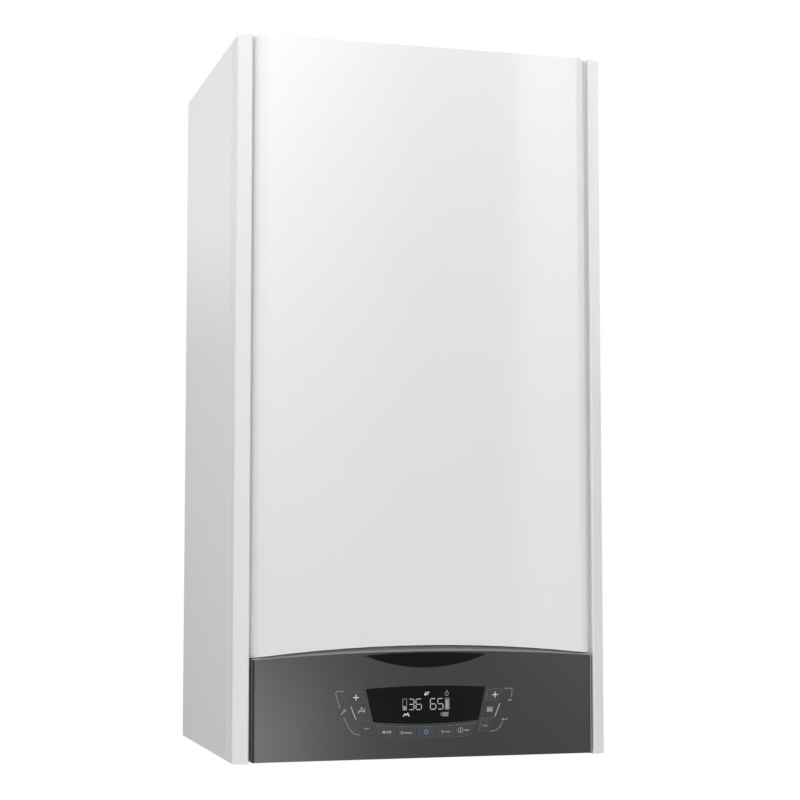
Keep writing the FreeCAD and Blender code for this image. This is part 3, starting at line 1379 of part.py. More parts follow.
def make_gas_valve(inlet_level):
    """The gas control block with its coils, screws and plug, and the pipes to and from it."""
    x = dim.valve_offset
    rear = fan_front + dim.venturi_length / 2 - dim.valve_depth / 2
    front = rear + dim.valve_depth
    level = fan_axis + dim.valve_rise
    low = level - dim.valve_height / 2
    high = level + dim.valve_height / 2
    left = x - dim.valve_width / 2
    right = x + dim.valve_width / 2
    outline = [(left, low), (right, low), (right, high), (left, high)]
    block = prism("valve_block", "XZ", [outline], rear, front)

    def long_edges(edge, middle):
        return forward(edge)

    soften(block, "Fillet", dim.valve_round, long_edges)
    coils = [
        rod(f"coil{number}", dim.coil_radius, dim.coil_height, x,
            front, level + dim.valve_height * share, "Y")
        for number, share in enumerate(COIL_SHARES)
    ]
    screws = []
    for screw_x in (left + dim.valve_screw_inset, right - dim.valve_screw_inset):
        for screw_z in (low + dim.valve_screw_inset, high - dim.valve_screw_inset):
            screws.append((screw_x, screw_z, dim.valve_screw))
    pad(block, "XZ", screws, front, front + dim.valve_screw_height)
    plug_reach = dim.valve_plug_depth / 2
    plug = box("valve_plug", (x - dim.valve_plug_width / 2, x + dim.valve_plug_width / 2),
               ((rear + front) / 2 - plug_reach, (rear + front) / 2 + plug_reach),
               (high, high + dim.valve_plug_height))
    part(fuse("gas_valve", block, plug, *coils), "gas_valve")
    middle = (rear + front) / 2
    turn = low - dim.gas_turn_drop
    inlet = [
        vector(0, stub_depth, inlet_level),
        vector(0, stub_depth, turn),
        vector(x, middle, turn),
        vector(x, middle, low),
    ]
    riser = tube("gas_riser", inlet, dim.gas_bend, dim.gas_pipe_radius, dim.pipe_wall)
    union_skin = rod("gas_union_skin", dim.wide_stub, dim.hex_height, 0, stub_depth, inlet_level)
    union_bore = rod("gas_union_bore", dim.gas_pipe_radius, dim.hex_height, 0, stub_depth, inlet_level)
    joined = fuse("gas_inlet_pipe", riser, cut("gas_union", union_skin, union_bore))
    bridge = rod("gas_bridge", dim.gas_pipe_radius, left + dim.fan_offset - dim.venturi_radius,
                 dim.venturi_radius - dim.fan_offset, middle, fan_axis, "X")
    part(group("gas_pipes", joined, bridge), "gas_pipes")


def make_service_stubs():
    """Five stubs that a hexagon above and a nut below clamp to the bottom plate."""
    stubs = []
    for number, (x, radius) in enumerate(zip(stub_places, stub_radii)):
        length = dim.stub_head - dim.stub_foot
        shank = rod(f"shank{number}", radius, length, x, stub_depth, bottom + dim.stub_foot)
        nut = hexagon(f"stub_hex{number}", dim.stub_hex, dim.hex_height, x, stub_depth, plate_top)
        lock = hexagon(f"stub_lock{number}", dim.stub_hex, dim.lock_nut, x, stub_depth,
                       plate_top - dim.plate_gauge - dim.lock_nut)
        bore = rod(f"stub_bore{number}", radius - dim.stub_wall, length + 2 * dim.overrun,
                   x, stub_depth, bottom + dim.stub_foot - dim.overrun)
        stubs.append(cut(f"stub{number}", fuse(f"stub_skin{number}", shank, nut, lock), bore))
    part(group("service_stubs", *stubs), "service_stubs")


def water_block(name, start, end):
    """A moulded block over two stubs, with rounded upright edges."""
    body = prism(name, "XY", [[
        (start, -group_front),
        (end, -group_front),
        (end, -group_rear),
        (start, -group_rear),
    ]], group_foot, group_head)

    def corner(edge, middle):
        return upright(edge)

    soften(body, "Fillet", dim.group_round, corner)
    return body


def make_water_groups():
    """Flow group with its diverter, return group, and the plate exchanger between them."""
    outer = 2 * dim.stub_pitch + dim.group_margin
    inner = dim.stub_pitch - dim.group_margin
    flow = water_block("flow_block", -outer, -inner)
    barrel = rod("flow_barrel", dim.barrel_radius, dim.barrel_height, -2 * dim.stub_pitch, stub_depth,
                 group_head)
    union = hexagon("flow_union", dim.union_hex, dim.union_height, -2 * dim.stub_pitch, stub_depth,
                    group_head + dim.barrel_height - dim.union_height)
    part(fuse("flow_group", flow, barrel, union), "flow_group")
    vessel_side = dim.vessel_pipe_offset - dim.vessel_pipe_radius - dim.group_round
    part(water_block("return_group", vessel_side, outer), "return_group")
    diverter_x = -2 * dim.stub_pitch
    middle = (group_foot + group_head) / 2
    width = dim.diverter_width / 2
    height = dim.diverter_height / 2
    body = prism("diverter_motor", "XZ", [[
        (diverter_x - width, middle - height),
        (diverter_x + width, middle - height),
        (diverter_x + width, middle + height / 2),
        (diverter_x + width / 2, middle + height),
        (diverter_x - width / 2, middle + height),
        (diverter_x - width, middle + height / 2),
    ]], group_front, group_front + dim.diverter_depth)

    def long_edges(edge, middle_point):
        return forward(edge)

    soften(body, "Fillet", dim.diverter_round, long_edges)
    plug_half = dim.drive_plug_width / 2
    plug_foot = middle - height / 2
    drive_front = group_front + dim.diverter_depth
    pad(body, "XZ", [[
        (diverter_x - plug_half, plug_foot),
        (diverter_x + plug_half, plug_foot),
        (diverter_x + plug_half, plug_foot + dim.drive_plug_height),
        (diverter_x - plug_half, plug_foot + dim.drive_plug_height),
    ]], drive_front, drive_front + dim.drive_plug_length)
    part(body, "diverter_motor")
    stack_half = outer - dim.stack_margin
    stack_foot = group_foot
    stack = prism("plate_stack", "XY", [[
        (-stack_half, -group_rear),
        (stack_half, -group_rear),
        (stack_half, -(group_rear - stack_depth)),
        (-stack_half, -(group_rear - stack_depth)),
    ]], stack_foot, stack_foot + dim.stack_height)

    def stack_corner(edge, middle_point):
        return upright(edge)

    soften(stack, "Fillet", dim.group_round, stack_corner)
    step = stack_depth / (2 * STACK_GROOVES + 2)
    rings = []
    for number in range(STACK_GROOVES):
        rear = group_rear - step * (2 * number + 2)
        outside = box(f"groove_outside{number}", (-stack_half - dim.overrun, stack_half + dim.overrun),
                      (rear - step / 2, rear + step / 2),
                      (stack_foot - dim.overrun, stack_foot + dim.stack_height + dim.overrun))
        groove = dim.stack_groove
        inside = box(f"groove_inside{number}", (-stack_half + groove, stack_half - groove),
                     (rear - step, rear + step),
                     (stack_foot + groove, stack_foot + dim.stack_height - groove))
        rings.append(cut(f"groove{number}", outside, inside))
    part(cut("plate_exchanger", stack, *rings), "plate_exchanger")


def make_pump():
    """The circulating pump: volute on the return group, ribbed motor in front of it."""
    x = dim.pump_offset
    z = bottom + dim.pump_level
    rear = stub_depth - dim.pump_depth / 2
    front = stub_depth + dim.pump_depth / 2
    volute_disc = rod("pump_volute", dim.pump_radius, dim.pump_depth, x, rear, z, "Y")
    neck_low = rod("pump_inlet", dim.pump_neck, z - group_head, x, stub_depth, group_head)
    neck_high = rod("pump_outlet", dim.pump_neck, dim.pump_rise, x, stub_depth, z)
    union = hexagon("pump_union", dim.union_hex, dim.union_height, x, stub_depth,
                    z + dim.pump_rise - dim.union_height)
    part(fuse("pump_body", volute_disc, neck_low, neck_high, union), "pump_body")
    motor = new_body("pump_motor")
    length = dim.pump_motor_length
    radius = dim.pump_motor_radius
    rib = dim.pump_rib
    pad(motor, "XZ", [(0, 0, radius)], as_size(0), length)
    fin = [
        (-rib / 2, radius - dim.pump_rib_height),
        (rib / 2, radius - dim.pump_rib_height),
        (rib / 2, radius + dim.pump_rib_height),
        (-rib / 2, radius + dim.pump_rib_height),
    ]
    fins = pad(motor, "XZ", [fin], dim.pump_rib_height, length - dim.pump_rib_height)
    polar(motor, fins, "Y", PUMP_RIBS)
    pad(motor, "XZ", [(0, 0, dim.knurl_radius)], length, length + dim.knurl_height)
    place(motor, x, -front, z)
    part(motor, "pump_motor")
    return z + dim.pump_rise


def make_tap(name, x, z):
    """A small valve body with the stem that carries its knob."""
    return part(turned(name, [
        (0, 0),
        (0, dim.tap_radius),
        (dim.tap_length, dim.tap_radius),
        (dim.tap_length, dim.tap_stem),
        (dim.tap_length + dim.knob_length - dim.knob_wall, dim.tap_stem),
        (dim.tap_length + dim.knob_length - dim.knob_wall, 0),
    ], "Y", x, group_front, z), name)


def make_knob(name, x, z):
    """A round knob with finger grooves, turning on its stem."""
    body = new_body(name)
    start = as_size(0)
    pad(body, "XZ", [(0, 0, dim.knob_radius)], start, dim.knob_length)
    bore = dim.tap_stem + dim.fit
    pocket(body, "XZ", [(0, 0, bore)], -dim.overrun, dim.knob_length - dim.knob_wall)
    groove = pocket(body, "XZ", [(dim.knob_radius + dim.knob_groove / 2, 0, dim.knob_groove)],
                    -dim.overrun, dim.knob_length + dim.overrun)
    polar(body, groove, "Y", KNOB_GROOVES)
    place(body, x, -(group_front + dim.tap_length + dim.fit), z)
    return part(body, name)


def make_pipes(nozzle_level, pump_head):
    """The heating pipes between exchanger and water groups, and the vessel's pipe."""
    room = nozzle_level - pump_head
    turn_start = nozzle_level - room * TURN_START_SHARE
    turn_end = nozzle_level - room * TURN_END_SHARE
    bend = room * PIPE_BEND_SHARE
    flow_x = -2 * dim.stub_pitch
    barrel_top = group_head + dim.barrel_height
    flow = [
        vector(-dim.nozzle_spread, stub_depth, nozzle_level),
        vector(-dim.nozzle_spread, stub_depth, turn_start),
        vector(flow_x, stub_depth, turn_end),
        vector(flow_x, stub_depth, barrel_top),
    ]
    part(tube("flow_pipe", flow, bend, dim.pipe_radius, dim.pipe_wall), "flow_pipe")
    back = [
        vector(dim.nozzle_spread, stub_depth, nozzle_level),
        vector(dim.nozzle_spread, stub_depth, turn_start),
        vector(dim.pump_offset, stub_depth, turn_end),
        vector(dim.pump_offset, stub_depth, pump_head),
    ]
    part(tube("return_pipe", back, bend, dim.pipe_radius, dim.pipe_wall), "return_pipe")
    level = vessel_branch
    x = dim.vessel_pipe_offset
    branch = [
        vector(x, vessel_front, level),
        vector(x, stub_depth, level),
        vector(x, stub_depth, group_head),
    ]
    pipe = tube("vessel_pipe", branch, dim.vessel_pipe_bend, dim.vessel_pipe_radius, dim.pipe_wall)
    part(pipe, "vessel_pipe")


def make_condensate(nozzle_level):
    """The water trap that stands on the bottom plate, and the ribbed hose into it."""
    height = dim.trap_height
    radius = dim.trap_radius
    step = dim.spigot_wall
    outlet = plate_top - (bottom + dim.trap_foot)
    profile = [
        (-outlet, dim.trap_spigot - step),
        (-outlet, dim.trap_spigot),
        (-(dim.plate_gauge + dim.lock_nut), dim.trap_spigot),
        (-(dim.plate_gauge + dim.lock_nut), dim.trap_nut),
        (-dim.plate_gauge, dim.trap_nut),
        (-dim.plate_gauge, dim.trap_spigot),
        (0, dim.trap_spigot),
        (0, radius),
    ]
    for share in TRAP_SHARES:
        profile += [
            (height * share, radius),
            (height * share, radius + step),
            (height * share + 2 * step, radius + step),
            (height * share + 2 * step, radius),
        ]
    profile += [
        (height, radius),
        (height, dim.trap_neck),
        (height + dim.trap_cap, dim.trap_neck),
        (height + dim.trap_cap, 0),
        (0, 0),
        (0, dim.trap_spigot - step),
    ]
    part(turned("condensate_trap", profile, "Z", 0, drain_depth, plate_top), "condensate_trap")
    foot = plate_top + height + dim.trap_cap
    length = nozzle_level - foot
    ribs = int((length.value - 2 * dim.hose_cuff.value) / dim.rib_pitch.value)
    pitch = (length - 2 * dim.hose_cuff) / ribs
    crest = dim.hose_radius + dim.hose_rib
    rib_radii = (dim.hose_radius, crest, crest, dim.hose_radius)
    skin = [(0, dim.hose_radius - dim.hose_wall), (0, dim.hose_radius)]
    for number in range(ribs):
        base = dim.hose_cuff + pitch * number
        skin += [(base + pitch * share, radius) for share, radius in zip(RIB_SHARES, rib_radii)]
    skin += [(length, dim.hose_radius), (length, dim.hose_radius - dim.hose_wall)]
    points = [FreeCAD.Vector(as_size(r).value, 0, as_size(along).value) for along, r in skin]
    face = Part.Face(Part.makePolygon(points + points[:1]))
    hose = doc.addObject("Part::Feature", "condensate_hose")
    hose.Shape = face.revolve(FreeCAD.Vector(), Z_AXIS, 360)
    place(hose, 0, -drain_depth, foot)
    part(hose, "condensate_hose")


def arch_radius(rise):
    """Radius of an arch over the fascia's width that rises so far."""
    return (fascia_half * fascia_half + rise * rise) / (2 * rise)


def arch_level(x, grow):
    """Level at x of an arch that runs at an even distance outside the fascia's top."""
    radius = arch_radius(dim.fascia_crest - dim.fascia_shoulder)
    centre = bottom + dim.fascia_crest - radius
    reach = radius + grow
    return centre + root(reach * reach - x * x)


def front_outline(half_width, grow, upper):
    """The front panel's outline: straight sides and top, arched lower edge."""
    side_level = arch_level(half_width, grow)
    crest = bottom + dim.fascia_crest + grow
    return [
        (half_width, side_level),
        (half_width, upper),
        (-half_width, upper),
        (-half_width, side_level, 0, crest),
    ]


def front_block(name, inset, rear, front, corner):
    """A block of the front panel's outline, drawn in evenly, with rounded upright front edges."""
    half_width = panel_half - inset
    outline = front_outline(half_width, dim.cover_gap + inset, top - inset)
    body = prism(name, "XZ", [outline], rear, front)
    front_face = -front.value

    def front_edge(edge, middle):
        return upright(edge) and near(middle.y, front_face)

    if corner is not None:
        soften(body, "Fillet", corner, front_edge)
    return body


def make_front_panel():
    """The white pressed front: a tray with rounded upright edges and a hem all round."""
    front = dim.case_depth
    gauge = dim.gauge
    outer = front_block("panel_skin", as_size(0), panel_rear, front, dim.panel_round)
    cavity = front_block("panel_cavity", gauge, panel_rear + gauge, front - gauge, dim.panel_round - gauge)
    mouth = front_block("panel_mouth", dim.panel_hem, panel_rear - dim.overrun,
                        panel_rear + gauge + dim.overrun, None)
    tray = cut("panel_tray", outer, cavity, mouth)
    lip_rear = side_depth + dim.stile_joint
    lip = box("panel_lip", (-panel_half, panel_half), (lip_rear, panel_rear + gauge), (top - gauge, top))
    part(fuse("front_panel", tray, lip), "front_panel")


def make_stile(side, name):
    """The trim profile beside the front panel, open at the back, capped at both ends."""
    outer = half * side
    inner = stile_inner * side
    lip = panel_half * side
    wall = dim.stile_wall
    thick = wall * side
    rear = -(side_depth + dim.stile_joint)
    knee = -(dim.case_depth - dim.stile_setback)
    nose = -(dim.case_depth - dim.stile_inset)
    floor = -(dim.case_depth - dim.groove_depth)
    profile = [
        (outer, rear),
        (outer, knee),
        (inner, nose),
        (inner, floor),
        (lip, floor),
        (lip, floor + dim.groove_floor),
        (inner + thick, floor + dim.groove_floor),
        (inner + thick, nose + wall + dim.stile_inset),
        (outer - thick, knee + wall),
        (outer - thick, rear),
    ]
    body = prism(name, "XY", [profile], bottom, top)
    cap = [
        (outer, rear),
        (outer, knee),
        (inner, nose),
        (inner, floor + dim.groove_floor),
        (inner + thick, rear),
    ]
    pad(body, "XY", [cap], bottom, bottom + dim.stile_cap)
    pad(body, "XY", [cap], top - dim.stile_cap, top)

    def at(x, y):
        return lambda edge, middle: upright(edge) and near(middle.x, x.value) and near(middle.y, y.value)

    soften(body, "Fillet", dim.stile_outer_round, at(outer, knee))
    soften(body, "Fillet", dim.stile_inner_round, at(inner, nose))
    return part(body, name)


def make_cover_fittings():
    """The seal behind the front panel and the studs that locate the cover."""
    rear = side_depth + dim.fit
    outer = panel_half - dim.seal_inset
    inner = outer - dim.seal_width
    upper = top - dim.seal_inset
    lower = bottom + dim.fascia_crest + dim.cover_gap + dim.seal_inset
    ring = prism("seal_ring", "XZ", [
        [(-outer, lower), (outer, lower), (outer, upper), (-outer, upper)],
        [
            (-inner, lower + dim.seal_width),
            (inner, lower + dim.seal_width),
            (inner, upper - dim.seal_width),
            (-inner, upper - dim.seal_width),
        ],
    ], rear, panel_rear)
    studs = []
    holes = []
    for side in (-1, 1):
        x = (half - dim.stud_inset) * side
        for number, z in enumerate(stud_levels):
            tag = f"{side + 1}{number}"
            stud = turned(f"stud{tag}", [
                (-dim.stud_length, 0),
                (-dim.stud_length, dim.cover_stud - dim.stud_tip),
                (dim.stud_tip - dim.stud_length, dim.cover_stud),
                (0, dim.cover_stud),
                (0, 0),
            ], "Y", x, panel_rear, z)
            studs.append(stud)
            holes.append(rod(f"seal_hole{tag}", dim.cover_stud + dim.stud_fit,
                             panel_rear - rear + 2 * dim.overrun, x, rear - dim.overrun, z, "Y"))
    part(cut("cover_seal", ring, *holes), "cover_seal")
    part(group("cover_studs", *studs), "cover_studs")


def fascia_outline(inset):
    """The fascia's outline drawn in evenly: straight foot and sides, arched top."""
    half_width = fascia_half - inset
    foot = bottom + dim.fascia_foot + inset
    side_level = arch_level(half_width, -inset)
    return [
        (-half_width, foot),
        (half_width, foot),
        (half_width, side_level, 0, bottom + dim.fascia_crest - inset),
        (-half_width, side_level),
    ]


def bevel_level(x, inset):
    """Level at x of the bevel's lower edge, an arch that is flatter than the fascia's top."""
    crest = dim.fascia_crest - dim.bevel_height
    radius = arch_radius(crest - dim.fascia_shoulder + dim.bevel_end)
    return bottom + crest - inset - radius + root(radius * radius - x * x)


def fascia_block(name, inset, rear, front):
    """A block of the fascia's outline, with a bevel that dies out towards the ends of its arched top."""
    body = prism(name, "XZ", [fascia_outline(inset)], rear, front)
    side = fascia_half + dim.overrun
    above = bottom + dim.fascia_crest + dim.overrun
    end_level = bevel_level(side, inset)
    outline = [
        (side, end_level),
        (side, above),
        (-side, above),
        (-side, end_level, 0, bevel_level(as_size(0), inset)),
    ]
    bevel = pocket(body, "XZ", [outline], front - dim.bevel_depth - dim.overrun, front)
    bevel.UseCustomVector = True
    bind(bevel, "Direction.x", as_size(0))
    bind(bevel, "Direction.y", dim.bevel_depth)
    bind(bevel, "Direction.z", dim.bevel_height)
    doc.recompute()
    return body


def fascia_plan(front):
    """The fascia's plan from foot to crest, with rounded upright front edges."""
    body = prism("fascia_plan", "XY", [[
        (-fascia_half, -front),
        (fascia_half, -front),
        (fascia_half, -fascia_rear),
        (-fascia_half, -fascia_rear),
    ]], bottom, bottom + dim.fascia_crest + dim.overrun)
    front_face = -front.value

    def front_edge(edge, middle):
        return upright(edge) and near(middle.y, front_face)

    soften(body, "Fillet", dim.fascia_side_round, front_edge)
    return body


def window_outline(grow):
    """The display window's outline moved out evenly: slanted sides, arched head and foot."""
    head = dim.window_head_half + grow
    foot = dim.window_foot_half + grow
    return [
        (-foot, bottom + dim.window_foot - grow, 0, bottom + dim.window_sag - grow),
        (foot, bottom + dim.window_foot - grow),
        (head, bottom + dim.window_shoulder + grow, 0, bottom + dim.window_crest + grow),
        (-head, bottom + dim.window_shoulder + grow),
    ]


def badge_outline(grow):
    """The badge plate's crescent: a shallow arch above, a deeper one below, blunt tips."""
    tip = dim.badge_half + grow
    high = bottom + dim.badge_tip + dim.badge_blunt / 2 + grow
    low = bottom + dim.badge_tip - dim.badge_blunt / 2 - grow
    return [
        (-tip, low, 0, bottom + dim.badge_sag - grow),
        (tip, low),
        (tip, high, 0, bottom + dim.badge_crest + grow),
        (-tip, high),
    ]


def window_side(level):
    """Distance from the middle of the display window's slanted side at a level."""
    slope = (dim.window_head_half - dim.window_foot_half) / (dim.window_shoulder - dim.window_foot)
    return dim.window_foot_half + slope * (level - dim.window_foot)


def side_key_outline(side, head, foot, head_width, foot_width, grow):
    """A slanted key beside the display window, moved out evenly."""
    inner_head = window_side(head) + dim.key_inner_gap
    inner_foot = window_side(foot) + dim.key_inner_gap
    return [
        ((inner_foot - grow) * side, bottom + foot - grow),
        ((inner_foot + foot_width + grow) * side, bottom + foot - grow),
        ((inner_head + head_width + grow) * side, bottom + head + grow),
        ((inner_head - grow) * side, bottom + head + grow),
    ]


def strip_outline(grow):
    """The key strip's outline moved out evenly: it follows the display window's lower edge."""
    head = dim.strip_head_half + grow
    foot = dim.strip_foot_half + grow
    shoulder = bottom + dim.window_foot - dim.strip_gap + grow
    return [
        (-foot, bottom + dim.strip_foot - grow, 0, bottom + dim.strip_sag - grow),
        (foot, bottom + dim.strip_foot - grow),
        (head, shoulder, 0, bottom + dim.window_sag - dim.strip_gap + grow),
        (-head, shoulder),
    ]


PLUS_KEY = (dim.plus_key_head, dim.plus_key_foot, dim.plus_key_head_width, dim.plus_key_foot_width)
MINUS_KEY = (dim.minus_key_head, dim.minus_key_foot, dim.minus_key_head_width, dim.minus_key_foot_width)
SIDE_KEYS = [
    ("key_left_plus", -1, PLUS_KEY),
    ("key_left_minus", -1, MINUS_KEY),
    ("key_right_plus", 1, PLUS_KEY),
    ("key_right_minus", 1, MINUS_KEY),
]


def make_fascia():
    """The dark moulded front of the control box, with openings for window, keys and badge."""
    front = dim.case_depth
    block = fascia_block("fascia_block", as_size(0), fascia_rear, front)
    foot = (bottom + dim.fascia_foot).value

    def lower_corner(edge, middle):
        return forward(edge) and near(middle.z, foot)

    soften(block, "Fillet", dim.fascia_round, lower_corner)
    skin = common("fascia_skin", block, fascia_plan(front))
    openings = [window_outline(dim.fit), strip_outline(dim.key_fit)]
    for name, side, shape in SIDE_KEYS:
        openings.append(side_key_outline(side, *shape, dim.key_fit))
    cavity = fascia_block("fascia_cavity", dim.fascia_wall, fascia_rear - dim.overrun, wall_rear)
    holes = prism("fascia_openings", "XZ", openings, wall_rear - dim.overrun, front + dim.overrun)
    badge_rear = front - dim.badge_gauge
    recess = prism("badge_recess", "XZ", [badge_outline(dim.badge_fit)], badge_rear, front + dim.overrun)
    shell = cut("fascia_shell", skin, cavity, holes, recess)
    bosses = []
    for side in (-1, 1):
        for level in (dim.board_foot + dim.boss_inset, dim.board_head - dim.boss_inset):
            bosses.append(rod(f"boss{len(bosses)}", dim.boss_radius, dim.board_gap,
                              (dim.board_half - dim.boss_inset) * side, wall_rear - dim.board_gap,
                              bottom + level, "Y"))
    part(fuse("control_fascia", shell, *bosses), "control_fascia")
    part(prism("badge_plate", "XZ", [badge_outline(as_size(0))], badge_rear, front), "badge_plate")
    window = prism("display_window", "XZ", [window_outline(as_size(0))],
                   wall_rear, front - dim.window_recess)
    pad(window, "XZ", [window_outline(dim.window_lap)], wall_rear - dim.window_flange, wall_rear)
    part(window, "display_window")


def key_body(name, face, flange):
    """A key: its face goes through the fascia, its flange stays behind."""
    front = dim.case_depth + dim.key_proud
    flange_front = wall_rear - dim.fit
    body = prism(name, "XZ", [face], flange_front, front)
    front_face = -front.value

    def rim(edge, middle):
        return near(middle.y, front_face)

    soften(body, "Chamfer", dim.key_edge, rim)
    pad(body, "XZ", [flange], flange_front - dim.key_flange, flange_front)
    return body


def make_keys():
    """Four slanted keys beside the display, and five side by side under it."""
    for name, side, shape in SIDE_KEYS:
        face = side_key_outline(side, *shape, as_size(0))
        flange = side_key_outline(side, *shape, dim.key_lap)
        part(key_body(name, face, flange), name)
    low = bottom + dim.strip_sag - dim.strip_gap
    high = bottom + dim.window_foot
    count = len(STRIP_KEYS)
    for number, word in enumerate(STRIP_KEYS):
        middle = dim.strip_pitch * (number - (count - 1) / 2)
        reach = dim.strip_pitch / 2 - dim.key_fit / 2
        far = dim.strip_head_half + dim.strip_gap
        left = -far if number == 0 else middle - reach
        right = far if number == count - 1 else middle + reach
        strip = key_body(f"strip_{word}", strip_outline(as_size(0)), strip_outline(dim.key_lap))
        slice_box = box(f"slice_{word}", (left, right),
                        (wall_rear - dim.fascia_depth, dim.case_depth + dim.fascia_depth), (low, high))
        part(common(f"key_{word}", strip, slice_box), f"key_{word}")


def make_control_box():
    """The housing behind the fascia with its hinge pins, its rear cover and the circuit board."""
    board_front = wall_rear - dim.board_gap
    board = [
        (-dim.board_half, bottom + dim.board_foot),
        (dim.board_half, bottom + dim.board_foot),
        (dim.board_half, bottom + dim.board_head),
        (-dim.board_half, bottom + dim.board_head),
    ]
    part(prism("control_board", "XZ", [board], board_front - dim.board_gauge, board_front), "control_board")
    low = bottom + dim.housing_foot
    high = bottom + dim.housing_head
    rear = fascia_rear - dim.housing_depth
    wall = dim.housing_wall

    def frame(inset):
        side = housing_half - inset
        return [(-side, low + inset), (side, low + inset), (side, high - inset), (-side, high - inset)]

    body = prism("housing_block", "XZ", [frame(as_size(0))], rear, fascia_rear)

    def long_edges(edge, middle):
        return forward(edge)

    soften(body, "Fillet", dim.housing_round, long_edges)
    rim_half = fascia_half
    rim_outline = [
        (-rim_half, bottom + dim.fascia_foot),
        (rim_half, bottom + dim.fascia_foot),
        (rim_half, bottom + dim.rim_head),
        (-rim_half, bottom + dim.rim_head),
    ]
    pad(body, "XZ", [rim_outline], fascia_rear - dim.rim_gauge, fascia_rear)
    pocket(body, "XZ", [frame(wall)], rear - dim.overrun, fascia_rear + dim.overrun)
    pin_length = dim.hinge_gap + dim.arm_gauge
    pins = [
        rod("right_pin", dim.hinge_pin, wall + pin_length, housing_half - wall,
            hinge_depth, hinge_axis, "X"),
        rod("left_pin", dim.hinge_pin, wall + pin_length, -(housing_half + pin_length),
            hinge_depth, hinge_axis, "X"),
    ]
    part(fuse("box_housing", body, *pins), "box_housing")

    lid = prism("lid_sheet", "XZ", [frame(as_size(0))], rear - dim.lid_gauge, rear)
    soften(lid, "Fillet", dim.housing_round, long_edges)
    inner = wall + dim.fit
    pad(lid, "XZ", [frame(inner), frame(inner + dim.lid_gauge)], rear, rear + dim.lid_lip)
    slots = []
    for number in range(COOLING_SLOTS):
        level = high - wall - dim.slot_pitch * (number + FIRST_SLOT_SHARE)
        slots.append([
            (-dim.slot_width / 2, level - dim.slot_height / 2),
            (dim.slot_width / 2, level - dim.slot_height / 2),
            (dim.slot_width / 2, level + dim.slot_height / 2),
            (-dim.slot_width / 2, level + dim.slot_height / 2),
        ])
    pocket(lid, "XZ", slots, rear - dim.lid_gauge - dim.overrun, rear + dim.overrun)
    gland_x = housing_half * GLAND_SHARE
    gland_z = (low + high) / 2
    gland_rear = rear - dim.lid_gauge - dim.gland_length
    pad(lid, "XZ", [(gland_x, gland_z, dim.gland_radius)], gland_rear, rear - dim.lid_gauge)
    pocket(lid, "XZ", [(gland_x, gland_z, dim.gland_bore)], gland_rear - dim.overrun, rear + dim.overrun)
    part(lid, "box_cover")


def write_parts():
    """Check every object and each sub-part, then write the sub-parts."""
    doc.recompute()
    failed = [o.Name for o in doc.Objects if "Invalid" in o.State or "Error" in o.State]
    if failed:
        raise RuntimeError(f"these objects failed: {failed}")
    for item in parts:
        if item.Shape.isNull() or not item.Shape.isValid():
            raise RuntimeError(f"{item.Label} has no valid shape")
        if not item.Shape.Solids:
            raise RuntimeError(f"{item.Label} has no solid")
    os.makedirs("parts", exist_ok=True)
    for item in parts:
        item.Shape.exportStep(f"parts/{item.Label}.step")
    print(f"{len(parts)} sub-parts written")


make_side_panel(-1, "left_side_panel")
make_side_panel(1, "right_side_panel")
make_back_panel()
make_wall_bracket()
make_top_panel()
make_bottom_plate()
make_cross_rail()
make_hinge_brackets()
make_flue()
make_expansion_vessel()
lower_nozzles = make_exchanger()
make_burner_door()
make_fan()
make_air_silencer()
make_manifold()
make_gas_valve(group_foot)
make_service_stubs()
make_water_groups()
pump_head = make_pump()
tap_level = (group_foot + group_head) / 2
make_tap("relief_valve", dim.relief_offset, tap_level)
make_knob("relief_knob", dim.relief_offset, tap_level)
make_tap("fill_tap", dim.fill_offset, tap_level)
make_knob("fill_knob", dim.fill_offset, tap_level)
make_pipes(lower_nozzles, pump_head)
make_condensate(lower_nozzles)
make_front_panel()
make_stile(-1, "left_stile")
make_stile(1, "right_stile")
make_cover_fittings()
make_fascia()
make_keys()
make_control_box()
write_parts()
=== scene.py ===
# %% [markdown]
# # A wall-hung gas boiler
# The solids come ready from CAD, in metres, with the wall at y = 0 and the room towards -Y. Here they
# get their finishes, their printed signs, a lit display, light and a camera.

# %% Load the solids
import json
import math

import bpy
import numpy as np
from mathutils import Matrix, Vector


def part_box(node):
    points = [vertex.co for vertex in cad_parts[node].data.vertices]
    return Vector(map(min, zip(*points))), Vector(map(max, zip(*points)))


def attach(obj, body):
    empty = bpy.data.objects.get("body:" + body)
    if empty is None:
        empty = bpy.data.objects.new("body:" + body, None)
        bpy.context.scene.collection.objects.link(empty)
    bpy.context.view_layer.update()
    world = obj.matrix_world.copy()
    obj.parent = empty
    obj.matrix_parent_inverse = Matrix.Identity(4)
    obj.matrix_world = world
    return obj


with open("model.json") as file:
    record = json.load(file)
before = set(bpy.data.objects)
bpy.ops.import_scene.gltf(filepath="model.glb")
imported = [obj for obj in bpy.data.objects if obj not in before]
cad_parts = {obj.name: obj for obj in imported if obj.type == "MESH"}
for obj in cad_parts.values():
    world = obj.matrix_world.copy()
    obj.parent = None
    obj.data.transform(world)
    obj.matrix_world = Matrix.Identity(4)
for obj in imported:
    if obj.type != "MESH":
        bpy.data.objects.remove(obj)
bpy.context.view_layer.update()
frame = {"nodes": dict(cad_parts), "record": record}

nodes = frame["nodes"]
record = frame["record"]
MM = 0.001
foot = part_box("left_side_panel")[0][2]
face_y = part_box("control_fascia")[0][1]
print("solids:", len(nodes), "casing foot at", round(foot, 4), "fascia face at", round(face_y, 4))

# %% [markdown]
# ## Camera
# The photograph was taken from a little below the middle, left of the casing, with a long lens. A
# camera could be set by eye. Here its place and its two angles come from fitting the casing's corners
# to the picture, so it stands where the photographer stood and needs no shift.

